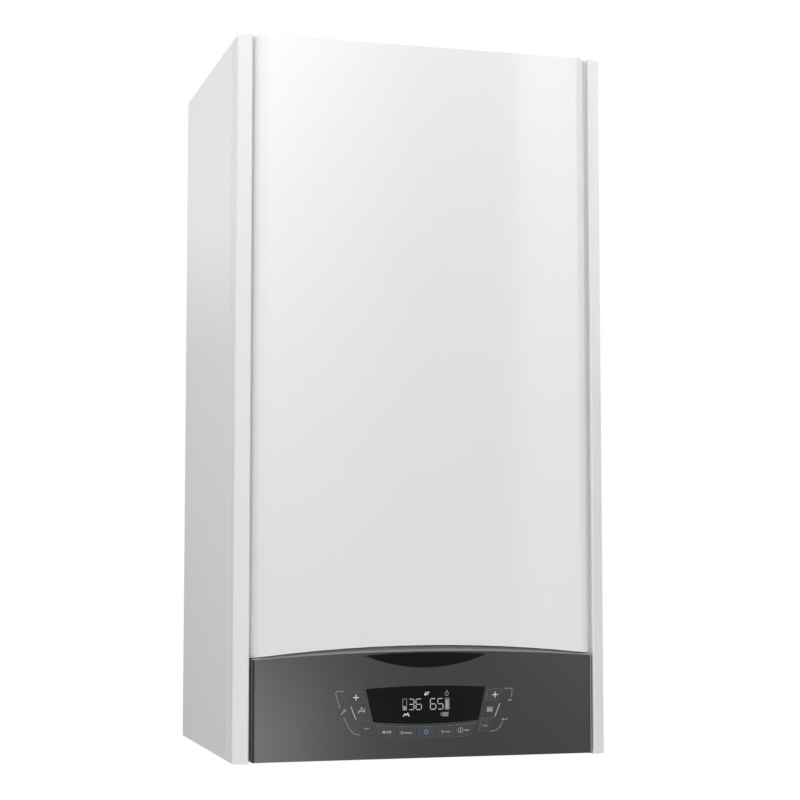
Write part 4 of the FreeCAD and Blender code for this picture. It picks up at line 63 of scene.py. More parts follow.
# %% Camera
CAMERA_PLACE = (-0.5565, -2.1941, foot + 0.2138)
CAMERA_TURN = math.radians(15.742)
CAMERA_TILT = math.radians(4.568)
SENSOR_MM = 36.0
LENS_MM = 84.716


def add_object(name, data):
    """Make an object from its data and link it to the scene."""
    thing = bpy.data.objects.new(name, data)
    bpy.context.scene.collection.objects.link(thing)
    return thing


camera = add_object("photo_camera", bpy.data.cameras.new("photo_camera"))
camera.data.sensor_width = SENSOR_MM
camera.data.lens = LENS_MM
camera.location = CAMERA_PLACE
camera.rotation_euler = (math.pi / 2 + CAMERA_TILT, 0.0, -CAMERA_TURN)
bpy.context.scene.camera = camera
bpy.context.scene.view_settings.view_transform = "Standard"
print("camera at", [round(side, 3) for side in camera.location])

# %% [markdown]
# ## Colours
# A paint chart gives colours as sRGB hex values, but a shader works in linear light. Blender's colour
# picker turns one into the other by itself, while a script has to do it. So every colour below goes
# through one function and can be read as the chart has it.

# %% Colours
def linear(hex_colour):
    """Each sRGB channel c becomes c/12.92 below 0.04045, else ((c + 0.055)/1.055) to the power 2.4."""
    channels = np.array([int(hex_colour[i:i + 2], 16) for i in (1, 3, 5)]) / 255
    low = channels / 12.92
    high = ((channels + 0.055) / 1.055) ** 2.4
    return (*np.where(channels <= 0.04045, low, high).tolist(), 1.0)


print("white enamel in linear light:", [round(c, 3) for c in linear("#f0f0f0")[:3]])

# %% [markdown]
# ## Shader nodes
# A finish is a small graph of nodes, which could be drawn by hand in the Shader Editor. In a script,
# one function adds a node with its settings and its links, so that a finish reads as a few lines.
# Patterns are scaled from real millimetres: a noise of scale 1/s repeats about every s metres on Object
# coordinates. The colour Mix node has sockets of one name for each kind of value: 6 and 7 are its
# colours, 2 the mixed one.

# %% Nodes and scale
def put(tree, kind, links=None, **settings):
    """Add one node: settings are its properties, links give its sockets values or the sockets to read."""
    node = tree.nodes.new(kind)
    for name, value in settings.items():
        setattr(node, name, value)
    for socket, value in (links or {}).items():
        if isinstance(value, bpy.types.NodeSocket):
            tree.links.new(value, node.inputs[socket])
        else:
            node.inputs[socket].default_value = value
    return node


def repeats(size_mm):
    """Pattern scale whose grain is about size_mm wide on Object coordinates in metres."""
    return 1 / (size_mm * MM)


def new_finish(name):
    """An empty material with a Principled shader on its output, and its Object coordinates."""
    material = bpy.data.materials.new(name)
    material.use_nodes = True
    tree = material.node_tree
    tree.nodes.clear()
    shader = put(tree, "ShaderNodeBsdfPrincipled")
    put(tree, "ShaderNodeOutputMaterial", {"Surface": shader.outputs["BSDF"]})
    place = put(tree, "ShaderNodeTexCoord").outputs["Object"]
    return material, tree, shader, place


def vary(tree, shader, tint_by, gloss_by, tones, roughness, spread):
    """One pattern mixes two hex tones to the base colour, another moves the roughness by a spread
    either way."""
    tint = put(tree, "ShaderNodeMix", {0: tint_by, 6: linear(tones[0]), 7: linear(tones[1])},
               data_type="RGBA")
    gloss = put(tree, "ShaderNodeMapRange", {"Value": gloss_by, "To Min": roughness * (1 - spread),
                                             "To Max": roughness * (1 + spread)})
    tree.links.new(tint.outputs[2], shader.inputs["Base Color"])
    tree.links.new(gloss.outputs["Result"], shader.inputs["Roughness"])


print("a grain of 2 mm has the scale", repeats(2.0))

# %% [markdown]
# ## Coated and moulded skins
# Stove enamel, ABS and cast metal all have a base colour, a sheen and a fine relief, and differ in
# numbers. Gloss enamel has a faint orange peel some two millimetres wide, grained ABS a tight sparkle,
# a casting a coarse skin. So one function makes them from two noises: a broad one that drifts the
# colour and the sheen a little, and a fine one that becomes bump. A painted picture could do the same,
# but noise has no seams and needs no unwrapping.

# %% Coated and moulded skins
SHEEN_DRIFT = 0.12
CLOUD_MM = 90.0


def skin(name, tones, roughness, grain_mm, relief_mm, metallic=0.0, mirror=0.5, cloud_mm=CLOUD_MM):
    """Colour and sheen drift with a broad noise, a fine noise stands out as bump. mirror is the specular
    level, where 0.5 is plain plastic or paint."""
    material, tree, shader, place = new_finish(name)
    cloud = put(tree, "ShaderNodeTexNoise", {"Vector": place, "Scale": repeats(cloud_mm), "Detail": 3.0})
    vary(tree, shader, cloud.outputs["Fac"], cloud.outputs["Fac"], tones, roughness, SHEEN_DRIFT)
    grain = put(tree, "ShaderNodeTexNoise", {"Vector": place, "Scale": repeats(grain_mm), "Detail": 2.0})
    relief = put(tree, "ShaderNodeBump", {"Height": grain.outputs["Fac"], "Distance": relief_mm * MM,
                                          "Strength": 1.0})
    tree.links.new(relief.outputs["Normal"], shader.inputs["Normal"])
    shader.inputs["Metallic"].default_value = metallic
    shader.inputs["Specular IOR Level"].default_value = mirror
    return material


finishes = {}
print("sheen drifts by", SHEEN_DRIFT, "either way, over about", CLOUD_MM, "mm")

# %% [markdown]
# ## Casing and fascia
# The casing is gloss enamelled sheet, held by satin trim. Fascia and keys are grained mouldings, badge
# plate and display window polished ones. The real grain is finer than a pixel, so it is drawn as coarse
# as it needs to break up a highlight. A plain colour would do for the tone, but the eye tells sheet
# from plastic by sheen.

# %% Casing and fascia
# In each call: the finish, its two tones, roughness, width of its grain in mm and depth of its grain in mm.
finishes |= {
    # Gloss enamel stoved on steel: almost white, mirrors the lamps, with a faint orange peel.
    "white_enamel": skin("stove_enamelled_steel", ("#f0f0f0", "#eeeeee"), 0.07, 2.2, 0.0015),
    # Moulded trim: a touch greyer than the sheet beside it, with a satin face that mirrors less.
    "white_trim": skin("satin_moulded_abs", ("#ececec", "#eaeaea"), 0.2, 1.6, 0.003, mirror=0.25),
    # Grained moulding: near black, but with a wide sheen that turns it grey wherever it mirrors a lamp.
    "fascia_plastic": skin("grained_moulded_abs", ("#232425", "#212223"), 0.24, 0.7, 0.006, mirror=1.0),
    # Key tops: a greyer plastic with a softer sheen, so that they only just stand out.
    "key_plastic": skin("fine_grained_moulded_abs", ("#3b3c3d", "#393a3b"), 0.32, 1.0, 0.004),
    # Acrylic dyed black and polished: deep black with clear reflections.
    "black_gloss": skin("polished_black_acrylic", ("#060606", "#080808"), 0.12, 6.0, 0.001),
}
print("casing finishes:", len(finishes))

# %% [markdown]
# ## Mouldings, tank and seals of the works
# Among the works, colour tells the pieces apart: black for boxes, motors and the air intake, white for
# the flue, grey for the drain, red and blue for the knobs, red for the tank. They could share one
# plastic with a colour each, but drip marks, pores and glaze need their own grain.

# %% Mouldings, tank and seals of the works
finishes |= {
    # Glass-filled nylon: dull black with a rough, fibrous skin.
    "black_plastic": skin("moulded_glass_filled_nylon", ("#1f2021", "#1b1c1d"), 0.5, 0.9, 0.02),
    # Polypropylene has a waxy, half-matt face: warm white for the flue, grey for the drain.
    "flue_plastic": skin("moulded_white_polypropylene", ("#e6e6e3", "#e0e0dd"), 0.45, 1.4, 0.01),
    "grey_plastic": skin("moulded_grey_polypropylene", ("#a9acae", "#a2a5a7"), 0.45, 1.2, 0.012),
    # Dyed nylon of the knobs: strong colour under a soft highlight.
    "red_plastic": skin("moulded_red_nylon", ("#b01f1a", "#a61c18"), 0.4, 0.9, 0.012),
    "blue_plastic": skin("moulded_blue_nylon", ("#1c3f86", "#1a3a7c"), 0.4, 0.9, 0.012),
    # Enamel of the dipped tank: glossy, with long soft waves where it ran.
    "red_enamel": skin("dipped_tank_enamel", ("#a3201b", "#961c18"), 0.32, 5.0, 0.03),
    # Foam rubber cut from sheet: matt, with open pores.
    "black_rubber": skin("cut_foam_rubber", ("#1a1a1a", "#232323"), 0.85, 0.6, 0.08),
    # Glaze on the electrodes: cream, smooth and wet-looking.
    "ceramic": skin("glazed_ceramic", ("#ece9e1", "#e6e2d8"), 0.2, 3.0, 0.004, mirror=0.7),
}
print("with mouldings, tank and seals:", len(finishes))

# %% [markdown]
# ## Castings and plated steel
# Castings show a skin that the mould left, with clouds a few centimetres wide where the metal flowed.
# Plated nuts, studs and fixings are bright and even. The same function makes them with smaller clouds
# and, for bare metal, with metallic set to 1.

# %% Castings and plated steel
finishes |= {
    # Die-cast aluminium: mid grey skin with flow marks.
    "cast_aluminium": skin("die_cast_aluminium", ("#b9bcbe", "#a7aaad"), 0.42, 0.8, 0.03,
                           metallic=1.0, cloud_mm=30.0),
    # Sand-cast iron under black lacquer: coarse and dull.
    "cast_iron": skin("lacquered_cast_iron", ("#2a2b2d", "#222325"), 0.5, 1.0, 0.05, cloud_mm=25.0),
    # Zinc plate: bright, faintly blue.
    "zinc_steel": skin("zinc_plated_steel", ("#c9ccd0", "#bfc3c8"), 0.24, 1.0, 0.006,
                       metallic=1.0, cloud_mm=12.0),
}
print("with castings and plate:", len(finishes))

# %% [markdown]
# ## Painted light on the edges of the dark mouldings
# The long bevel along the fascia's arched top and its right end are painted a lighter grey. This is a
# painted highlight, as if light fell on them from above and the right.
# The rims of the keys are painted lighter too. This painted light weakens the shade in the gaps round each
# key. Bevel and end look up and to the right, the rims turn away from the front. So the part of the Object
# normal along one direction picks them out, and no second solid is needed.

# %% Painted light on the edges
UP_AND_RIGHT = (0.71, 0.0, 0.71)
BACKWARD = (0.0, 1.0, 0.0)


def painted_light_edges(material, colour, towards, start, full):
    """Painted light: mix a second tint into the base colour as the Object normal's part along a direction
    rises from start to full."""
    tree = material.node_tree
    shader = tree.nodes["Principled BSDF"]
    face_tint = shader.inputs["Base Color"].links[0].from_socket
    facing = put(tree, "ShaderNodeTexCoord").outputs["Normal"]
    part = put(tree, "ShaderNodeVectorMath", {0: facing, 1: towards}, operation="DOT_PRODUCT")
    # Mask of the painted light: 0 on the front faces, 1 on faces turned the given way.
    painted_light_mask = put(tree, "ShaderNodeMapRange", {"Value": part.outputs["Value"], "From Min": start,
                                               "From Max": full})
    mixed = put(tree, "ShaderNodeMix", {0: painted_light_mask.outputs["Result"], 6: face_tint, 7: linear(colour)},
                data_type="RGBA")
    tree.links.new(mixed.outputs[2], shader.inputs["Base Color"])


# Painted highlight: the fascia's bevel and right end get a lighter grey, as if lit from above and the
# right.
painted_light_edges(finishes["fascia_plastic"], "#8f9092", UP_AND_RIGHT, start=0.17, full=0.33)
# Painted light: the key rims get a lighter grey, so the shade in the gaps round the keys reads weaker.
painted_light_edges(finishes["key_plastic"], "#7a7b7d", BACKWARD, start=-0.97, full=-0.88)
print("pale edges: fascia, keys")

# %% [markdown]
# ## Rolled and drawn metal
# Sheet and tube carry fine lines along the way they were rolled, drawn or turned. They could be
# modelled as scratches, but stretching a noise strongly along one axis gives the same lines at no cost.
# The real ones are some hundredths of a millimetre wide, and are drawn half a millimetre wide so that
# they show.

# %% Rolled and drawn metal
LINE_MM = 0.5
LINE_DEPTH_MM = 0.01
LINE_SQUEEZE = 0.04
LINE_SPREAD = 0.25


def drawn(name, tones, roughness, along):
    """Metal with lines along one axis: the noise is squeezed along it, so its grain grows long there."""
    material, tree, shader, place = new_finish(name)
    squeeze = [LINE_SQUEEZE if axis == along else 1.0 for axis in "XYZ"]
    turned = put(tree, "ShaderNodeMapping", {"Vector": place, "Scale": squeeze})
    lines = put(tree, "ShaderNodeTexNoise", {"Vector": turned.outputs["Vector"], "Scale": repeats(LINE_MM),
                                             "Detail": 4.0})
    vary(tree, shader, lines.outputs["Fac"], lines.outputs["Fac"], tones, roughness, LINE_SPREAD)
    relief = put(tree, "ShaderNodeBump", {"Height": lines.outputs["Fac"], "Distance": LINE_DEPTH_MM * MM})
    tree.links.new(relief.outputs["Normal"], shader.inputs["Normal"])
    shader.inputs["Metallic"].default_value = 1.0
    return material


# Rolled sheet: cool grey with a soft streak. Drawn tube: warm and bright. Turned fittings: yellow, satin.
finishes["stainless_steel"] = drawn("rolled_stainless_steel", ("#c4c6c8", "#b4b7ba"), 0.37, "Y")
finishes["copper"] = drawn("drawn_copper_tube", ("#c98a67", "#b87a58"), 0.215, "Z")
finishes["brass"] = drawn("turned_brass", ("#c9ab6a", "#b99a5a"), 0.37, "X")
print("lined metals: stainless steel, copper, brass")

# %% [markdown]
# ## Zinc coated sheet
# Back panel, bottom plate and brackets are hot-dip galvanised. Zinc freezes in crystals some
# millimetres wide, each with its own grey and its own sheen. A Voronoi pattern has such cells, and
# gives each a random colour to read both from.

# %% Zinc coated sheet
CRYSTAL_MM = 7.0
CRYSTAL_SPREAD = 0.2


def spangled(name, tones, roughness):
    """Zinc coat: each Voronoi cell takes its grey from its red value and its sheen from its green one."""
    material, tree, shader, place = new_finish(name)
    crystals = put(tree, "ShaderNodeTexVoronoi", {"Vector": place, "Scale": repeats(CRYSTAL_MM)})
    shade = put(tree, "ShaderNodeSeparateColor", {"Color": crystals.outputs["Color"]})
    vary(tree, shader, shade.outputs["Red"], shade.outputs["Green"], tones, roughness, CRYSTAL_SPREAD)
    shader.inputs["Metallic"].default_value = 1.0
    return material


# Spangled sheet: a patchwork of greys that shifts with the light.
finishes["galvanised_steel"] = spangled("hot_dip_galvanised_sheet", ("#b3b7ba", "#a4a8ac"), 0.4)
print("zinc crystals about", CRYSTAL_MM, "mm wide")

# %% [markdown]
# ## Circuit board
# Lacquered glass fibre is a deep green with paler copper tracks under the lacquer. The tracks could be
# thin solids, but the board is closed in by the control box, and shows only to a reader who hides the
# box. A brick pattern with thin mortar gives runs of tracks at right angles, and that is enough.

# %% Circuit board
TRACK_MM = 9.0

board, board_tree, board_shader, board_place = new_finish("lacquered_circuit_board")
tracks = put(board_tree, "ShaderNodeTexBrick", {"Vector": board_place, "Scale": repeats(TRACK_MM),
                                                "Color1": linear("#0d3b22"), "Color2": linear("#0b331e"),
                                                "Mortar": linear("#1f6a3f"), "Mortar Size": 0.05})
board_tree.links.new(tracks.outputs["Color"], board_shader.inputs["Base Color"])
board_shader.inputs["Roughness"].default_value = 0.35
finishes["circuit_board"] = board
print("tracks every", TRACK_MM, "mm")

# %% [markdown]
# ## Dressing the solids
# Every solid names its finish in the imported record. So the finishes need no list of pieces here: one
# loop puts the material that the record names into each solid's own slots, and the mesh stays as it is.

# %% Dressing the solids
for entry in record["subparts"]:
    for slot in nodes[entry["node"]].material_slots:
        slot.material = finishes[entry["material_slot"]]
print("dressed nodes:", len(record["subparts"]))

# %% [markdown]
# ## Strokes of the printed signs
# The signs on keys and fascia are pad-printed: flat strokes a few hundredths of a millimetre thick. A
# font could draw some of them, but plain strokes keep them generic and sharp. Each stroke is a bar of
# rectangular section carried along a path, so it lies on its surface and still has closed sides. Paths
# are in mm, from the casing's middle and its foot.

# %% Bars carried along paths
PRINT_MM = 0.05
SHARPEST_MEET = 0.3


def bar(path, width_mm, surface_y):
    """Section carried along a path of (x, height) in mm: at each point the two sides stand off along
    the mean normal of the neighbouring runs, lengthened by 1/cos of half the turn up to a limit."""
    points = np.asarray(path, float)
    closed = bool(np.allclose(points[0], points[-1])) and len(points) > 2
    runs = np.diff(points, axis=0)
    runs = runs / np.linalg.norm(runs, axis=1, keepdims=True)
    before = np.vstack([runs[-1:] if closed else runs[:1], runs])
    after = np.vstack([runs, runs[:1] if closed else runs[-1:]])
    normal_a = np.stack([-before[:, 1], before[:, 0]], axis=1)
    normal_b = np.stack([-after[:, 1], after[:, 0]], axis=1)
    meet = 1 + np.sum(normal_a * normal_b, axis=1, keepdims=True)
    side = (normal_a + normal_b) / np.maximum(meet, SHARPEST_MEET) * width_mm / 2
    left, right = points + side, points - side
    front = np.full((len(points), 1), surface_y - PRINT_MM * MM)
    back = np.full((len(points), 1), surface_y)
    corners = []
    for edge, depth in ((left, front), (right, front), (right, back), (left, back)):
        corners.append(np.hstack([edge[:, :1] * MM, depth, edge[:, 1:] * MM + foot]))
    verts = np.stack(corners, axis=1).reshape(-1, 3)
    section = 4 * np.arange(len(points) - 1)[:, None]
    start = section + np.arange(4)
    end = section + (np.arange(4) + 1) % 4
    faces = np.stack([start, end, end + 4, start + 4], axis=-1).reshape(-1, 4)
    if not closed:
        caps = np.array([[3, 2, 1, 0], [0, 1, 2, 3]]) + np.array([[0], [4 * (len(points) - 1)]])
        faces = np.vstack([faces, caps])
    return verts, faces


print("signs lie", PRINT_MM, "mm proud of their surface")

# %% [markdown]
# ## Signs on their bodies
# A sign is a list of strokes, each a path with its width, joined into one mesh. It rides on the body
# that carries it, so the sign on a key goes in with the key. Round strokes follow a ring of points,
# which could be a curve object, but as points they take the same bar as the straight ones.

# %% Signs on their bodies
def print_sign(name, strokes, surface_y, body, finish):
    """Join the bars of one sign, a list of (path, width), into one mesh on one body."""
    verts, faces, base = [], [], 0
    for path, width in strokes:
        bar_verts, bar_faces = bar(path, width, surface_y)
        verts.append(bar_verts)
        faces.append(bar_faces + base)
        base += len(bar_verts)
    mesh = bpy.data.meshes.new(name)
    mesh.from_pydata(np.vstack(verts).tolist(), [], np.vstack(faces).tolist())
    mesh.materials.append(finish)
    piece = add_object(name, mesh)
    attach(piece, body)


def ring(x, z, radius, start=0.0, end=360.0, steps=24):
    """Points of a circle or an arc: centre plus radius times cosine and sine of an even run of angles."""
    angle = np.radians(np.linspace(start, end, steps))
    return np.stack([x + radius * np.cos(angle), z + radius * np.sin(angle)], axis=1)


print("a ring of 24 points spans", np.ptp(ring(0.0, 0.0, 1.0)[:, 0]).round(2), "radii")

# %% [markdown]
# ## Inks and lights
# Most signs are a matt light grey ink. The plus signs, the power sign and the display are lit from
# behind. A lamp behind each would be slow and noisy, so their shader gives off light of its own
# instead, at a strength that reads as bright but does not glare. The display's level bars are dimmer
# than its figures.

# %% Inks
SPECKLE_MM = 1.5
SPECKLE_SHADE = 0.9


def glowing(name, colour, strength):
    """Ink that gives off light of its own colour, over a base that a noise darkens to nine tenths."""
    material, tree, shader, place = new_finish(name)
    mottle = put(tree, "ShaderNodeTexNoise", {"Vector": place, "Scale": repeats(SPECKLE_MM)})
    shade = [c * SPECKLE_SHADE for c in linear(colour)[:3]] + [1.0]
    tint = put(tree, "ShaderNodeMix", {0: mottle.outputs["Fac"], 6: linear(colour), 7: shade},
               data_type="RGBA")
    tree.links.new(tint.outputs[2], shader.inputs["Base Color"])
    shader.inputs["Emission Color"].default_value = linear(colour)
    shader.inputs["Emission Strength"].default_value = strength
    shader.inputs["Roughness"].default_value = 0.6
    return material


# Pad-printed ink: matt, light grey. The others are translucent inks and segments over a light.
grey_ink = skin("pad_printed_grey_ink", ("#b4b5b6", "#adaeaf"), 0.6, 0.5, 0.002)
white_ink = glowing("backlit_white_ink", "#e8e8e8", 0.3)
white_segment = glowing("lit_display_segment", "#d2d4d4", 0.35)
dim_segment = glowing("dim_display_segment", "#8f9191", 0.25)
blue_ink = glowing("backlit_blue_ink", "#3f6fb0", 0.5)
print("inks: grey, white, blue, and two strengths of display segment")

# %% [markdown]
# ## Signs on the side keys
# Plus and minus stand on the four slanted keys, and each pair has a slanted light bar beside it. The
# right side could be a mirrored copy of the left, but a mirrored mesh is turned inside out, so one loop
# prints both from the same numbers.

# %% Side key signs
key_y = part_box("key_left_plus")[0][1]
STROKE = 0.65
PLUS_X, PLUS_Z, PLUS_REACH = 74.6, 64.4, 3.1
MINUS_X, MINUS_Z, MINUS_REACH = 63.6, 32.8, 2.6


def print_on_fascia(name, strokes):
    """A grey sign on the fascia's own face."""
    print_sign(name, strokes, face_y, "control_box", grey_ink)


def bar_across(x, z, reach):
    """A level stroke, its reach to either side of a point."""
    return ([(x - reach, z), (x + reach, z)], STROKE)


for side, word in ((-1, "left"), (1, "right")):
    plus_x = PLUS_X * side
    upright = ([(plus_x, PLUS_Z - PLUS_REACH), (plus_x, PLUS_Z + PLUS_REACH)], STROKE)
    plus = [bar_across(plus_x, PLUS_Z, PLUS_REACH), upright]
    minus = [bar_across(MINUS_X * side, MINUS_Z, MINUS_REACH)]
    print_sign(f"sign_{word}_plus", plus, key_y, f"key_{word}_plus", white_ink)
    print_sign(f"sign_{word}_minus", minus, key_y, f"key_{word}_minus", grey_ink)
    print_on_fascia(f"light_bar_{word}", [([(80.0 * side, 55.4), (74.4 * side, 41.9)], 1.0)])
print("plus signs", 2 * PLUS_REACH, "mm wide, minus signs", 2 * MINUS_REACH)

# %% [markdown]
# ## Tap and radiator
# Between plus and minus, a small sign says what the pair sets: a tap for hot water on the left, a
# radiator for heating on the right. They could be curve objects, but a few strokes are enough.

# %% Tap and radiator
tap = [
    ([(-72.0, 48.6), (-71.4, 50.6), (-65.6, 50.6)], 1.0),
    ([(-68.6, 50.6), (-68.6, 53.2)], 0.8),
    ([(-70.4, 53.4), (-66.8, 53.4)], 0.8),
    ([(-65.6, 52.4), (-65.6, 48.8)], 0.9),
]
radiator = [([(x, 46.6), (x, 51.8)], 0.95) for x in (66.2, 67.5, 68.8, 70.1, 71.4)]
radiator += [([(65.6, 47.4), (72.0, 47.4)], 0.5), ([(65.6, 51.0), (72.0, 51.0)], 0.5)]
print_on_fascia("sign_tap", tap)
print_on_fascia("sign_radiator", radiator)
print("strokes: tap", len(tap), "radiator", len(radiator))

# %% [markdown]
# ## Guide lines
# Thin printed lines run round the outside of each key pair and end at a small sign: a spanner on the
# left, a bar and a return arrow on the right. Lines this thin are kept 0.4 mm wide so that they still
# show.

# %% Guide lines
LINE = 0.4
left_lines = [
    ([(-87.4, 70.9), (-94.2, 70.9), (-96.0, 69.6), (-91.4, 53.6)], LINE),
    ([(-87.3, 44.6), (-81.6, 33.0), (-77.2, 28.2), (-70.5, 26.5)], LINE),
]
right_lines = [
    ([(84.9, 70.7), (92.2, 70.7), (93.6, 69.4), (92.6, 61.5)], LINE),
    ([(82.4, 36.0), (80.4, 31.4), (76.6, 28.2), (68.3, 26.6)], LINE),
]
spanner = [
    ([(-90.0, 47.4), (-86.9, 51.0)], 0.8),
    (ring(-86.2, 51.9, 1.1, 120, 420, 14), 0.6),
]
arrow_and_bar = [
    ([(82.6, 38.6), (87.6, 38.6), (88.2, 40.4)], 0.5),
    ([(83.8, 39.8), (82.4, 38.6), (83.8, 37.4)], 0.5),
    ([(89.2, 58.4), (92.8, 58.4)], 1.0),
]
print_on_fascia("guide_lines_left", left_lines)
print_on_fascia("guide_lines_right", right_lines)
print_on_fascia("sign_spanner", spanner)
print_on_fascia("sign_return", arrow_and_bar)
print("guide lines on both sides,", LINE, "mm wide")

# %% [markdown]
# ## Signs on the key strip
# Five keys lie side by side under the display. The middle one carries the lit power sign. The others
# get generic signs: a block with a zigzag, a clock, a sun and a ringed i, the last three with a plain
# bar beside them. A font has such signs too, but a few strokes read better at this size.

# %% Key strip signs
strip_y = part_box("key_power")[0][1]
BAR = 0.9
service = [
    ([(-46.6, 28.8), (-43.8, 28.8)], 2.2),
    ([(-42.6, 27.6), (-41.2, 29.8), (-39.8, 27.6), (-38.4, 29.8), (-37.2, 27.6)], 0.7),
]
clock = [
    (ring(-26.0, 27.6, 1.5, steps=16), 0.4),
    ([(-26.0, 28.6), (-26.0, 27.6), (-25.3, 27.2)], 0.4),
    ([(-23.4, 27.4), (-15.4, 27.4)], BAR),
]
sun = [(ring(17.6, 27.8, 0.8, steps=14), 0.5)]
sun += [(ring(17.6, 27.8, 1.7, ray - 4, ray + 4, 2), 0.5) for ray in range(0, 360, 45)]
sun += [([(20.2, 27.6), (25.4, 27.6)], BAR)]
info = [
    ([(37.0, 27.0), (37.0, 29.2)], 0.8),
    ([(37.0, 30.2), (37.0, 31.0)], 0.8),
    (ring(37.0, 28.8, 2.6), 0.45),
    ([(41.2, 28.6), (46.0, 28.6)], BAR),
]
power = [
    (ring(0.0, 28.2, 2.1, 125, 415, 22), 0.75),
    ([(0.0, 28.4), (0.0, 31.0)], 0.75),
]
strip_signs = {"service": service, "clock": clock, "mode": sun, "info": info}
for word, strokes in strip_signs.items():
    print_sign(f"sign_{word}", strokes, strip_y, f"key_{word}", grey_ink)
print_sign("sign_power", power, strip_y, "key_power", blue_ink)
print("strip signs:", 1 + len(strip_signs))

# %% [markdown]
# ## Figures of the display
# The display shows two temperatures. Each figure is built from seven bars with short gaps, as on a real
# segment display. A font would have no gaps, so a table says which bars a figure lights.

# %% Figures of the display
SEGMENTS = {"3": "abcdg", "5": "acdfg", "6": "acdefg"}
SEGMENT = 0.55
FIGURE_FOOT = 50.8
FIGURE_HEAD = 61.6


def figure(sign, left, right):
    """Seven bars: a is the top, b and c the right side, d the foot, e and f the left, g the middle."""
    low, high, gap = FIGURE_FOOT, FIGURE_HEAD, SEGMENT
    mid = (low + high) / 2
    bars = {
        "a": [(left + gap, high), (right - gap, high)],
        "b": [(right, high - gap), (right, mid + gap)],
        "c": [(right, mid - gap), (right, low + gap)],
        "d": [(left + gap, low), (right - gap, low)],
        "e": [(left, mid - gap), (left, low + gap)],
        "f": [(left, high - gap), (left, mid + gap)],
        "g": [(left + gap, mid), (right - gap, mid)],
    }
    return [(bars[letter], SEGMENT) for letter in SEGMENTS[sign]]


lit = figure("3", -18.4, -13.0) + figure("6", -10.8, -5.0)
lit += figure("6", 4.6, 10.4) + figure("5", 12.6, 18.2)
print("lit segments:", len(lit))

# %% [markdown]
# ## Level bars and small signs of the display
# A framed level bar stands at each end of the figures. Above and below are small generic signs, some as
# bright as the figures, some as dim as the bars. They could be one mesh with two materials, but a sign
# here has one finish, so bright and dim strokes become one piece each.

# %% Level bars and small signs of the display
window_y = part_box("display_window")[0][1]
dim = []
for left, right, level in ((-25.0, -20.8, 54.6), (20.6, 24.9, 60.6)):
    middle = (left + right) / 2
    frame_line = [(left, 50.5), (left, 61.9), (right, 61.9), (right, 50.5), (left, 50.5)]
    dim += [(frame_line, 0.45), ([(middle, 50.9), (middle, level)], right - left - 1.2)]
lit += [(ring(-0.6, 66.3, 0.85, steps=12), 0.8), ([(-0.6, 66.8), (0.2, 68.6)], 0.7)]
lit += [([(1.4, 65.4), (2.0, 66.8), (1.6, 68.2), (3.4, 68.4)], 0.7)]
dim += [(ring(22.2, 66.3, 1.7, 140, 400, 14), 0.6), ([(20.9, 67.4), (22.4, 69.6), (23.5, 67.4)], 0.6)]
lit += [([(-24.6, 44.0), (-22.6, 46.8), (-21.2, 45.2), (-19.6, 47.4), (-18.0, 44.0)], 0.8)]
dim += [([(x, 43.3), (x, 47.6)], 0.9) for x in (18.0, 19.4, 20.8, 22.2, 23.4)]
dim += [(ring(17.2, 45.4, 1.6, 90, 270, 10), 0.4)]
print_sign("display_figures", lit, window_y, "control_box", white_segment)
print_sign("display_levels", dim, window_y, "control_box", dim_segment)
print("display strokes:", len(lit), "bright,", len(dim), "dim")

# %% [markdown]
# ## Floor
# The boiler hangs, so the floor lies well below it. A plane would do, but its far edge would show as a
# line. A disc can fade evenly to its rim, so it is a grid of rings and spokes, each point a radius
# times cosine and sine of an angle, and the innermost ring is closed by one face.

# %% Floor
FLOOR_DROP = 0.28
FLOOR_RADIUS = 1.05
FLOOR_FORWARD = 0.16
FLOOR_RINGS = 24
FLOOR_SPOKES = 96
FLOOR_EYE = 0.02

angle = np.linspace(0, 2 * np.pi, FLOOR_SPOKES, endpoint=False)
radius = np.linspace(FLOOR_EYE, 1, FLOOR_RINGS)[:, None] * FLOOR_RADIUS
height = np.full((FLOOR_RINGS, FLOOR_SPOKES), foot - FLOOR_DROP)
disc = np.stack([radius * np.cos(angle), radius * np.sin(angle) - FLOOR_FORWARD, height], axis=-1)
inner = np.arange(FLOOR_RINGS - 1)[:, None] * FLOOR_SPOKES
spoke = np.arange(FLOOR_SPOKES)
beside = (spoke + 1) % FLOOR_SPOKES
outer = inner + FLOOR_SPOKES
quads = np.stack([inner + spoke, outer + spoke, outer + beside, inner + beside], axis=-1).reshape(-1, 4)
floor_mesh = bpy.data.meshes.new("floor")
floor_mesh.from_pydata(disc.reshape(-1, 3).tolist(), [], quads.tolist() + [spoke.tolist()])
floor = add_object("floor", floor_mesh)
print("floor", FLOOR_DROP, "m below the casing,", len(quads) + 1, "faces")

# %% [markdown]
# ## Floor finish
# A matt painted floor shows the boiler's soft shadow. Towards the rim it is mixed with a shader that
# gives off plain white, which is also what the camera sees behind it, so no edge shows. The mix follows
# the distance from the disc's middle, and no picture is needed.

# %% Floor finish
FADE_START = 0.2
FADE_END = 0.8
FADE_LEAST = 0.2

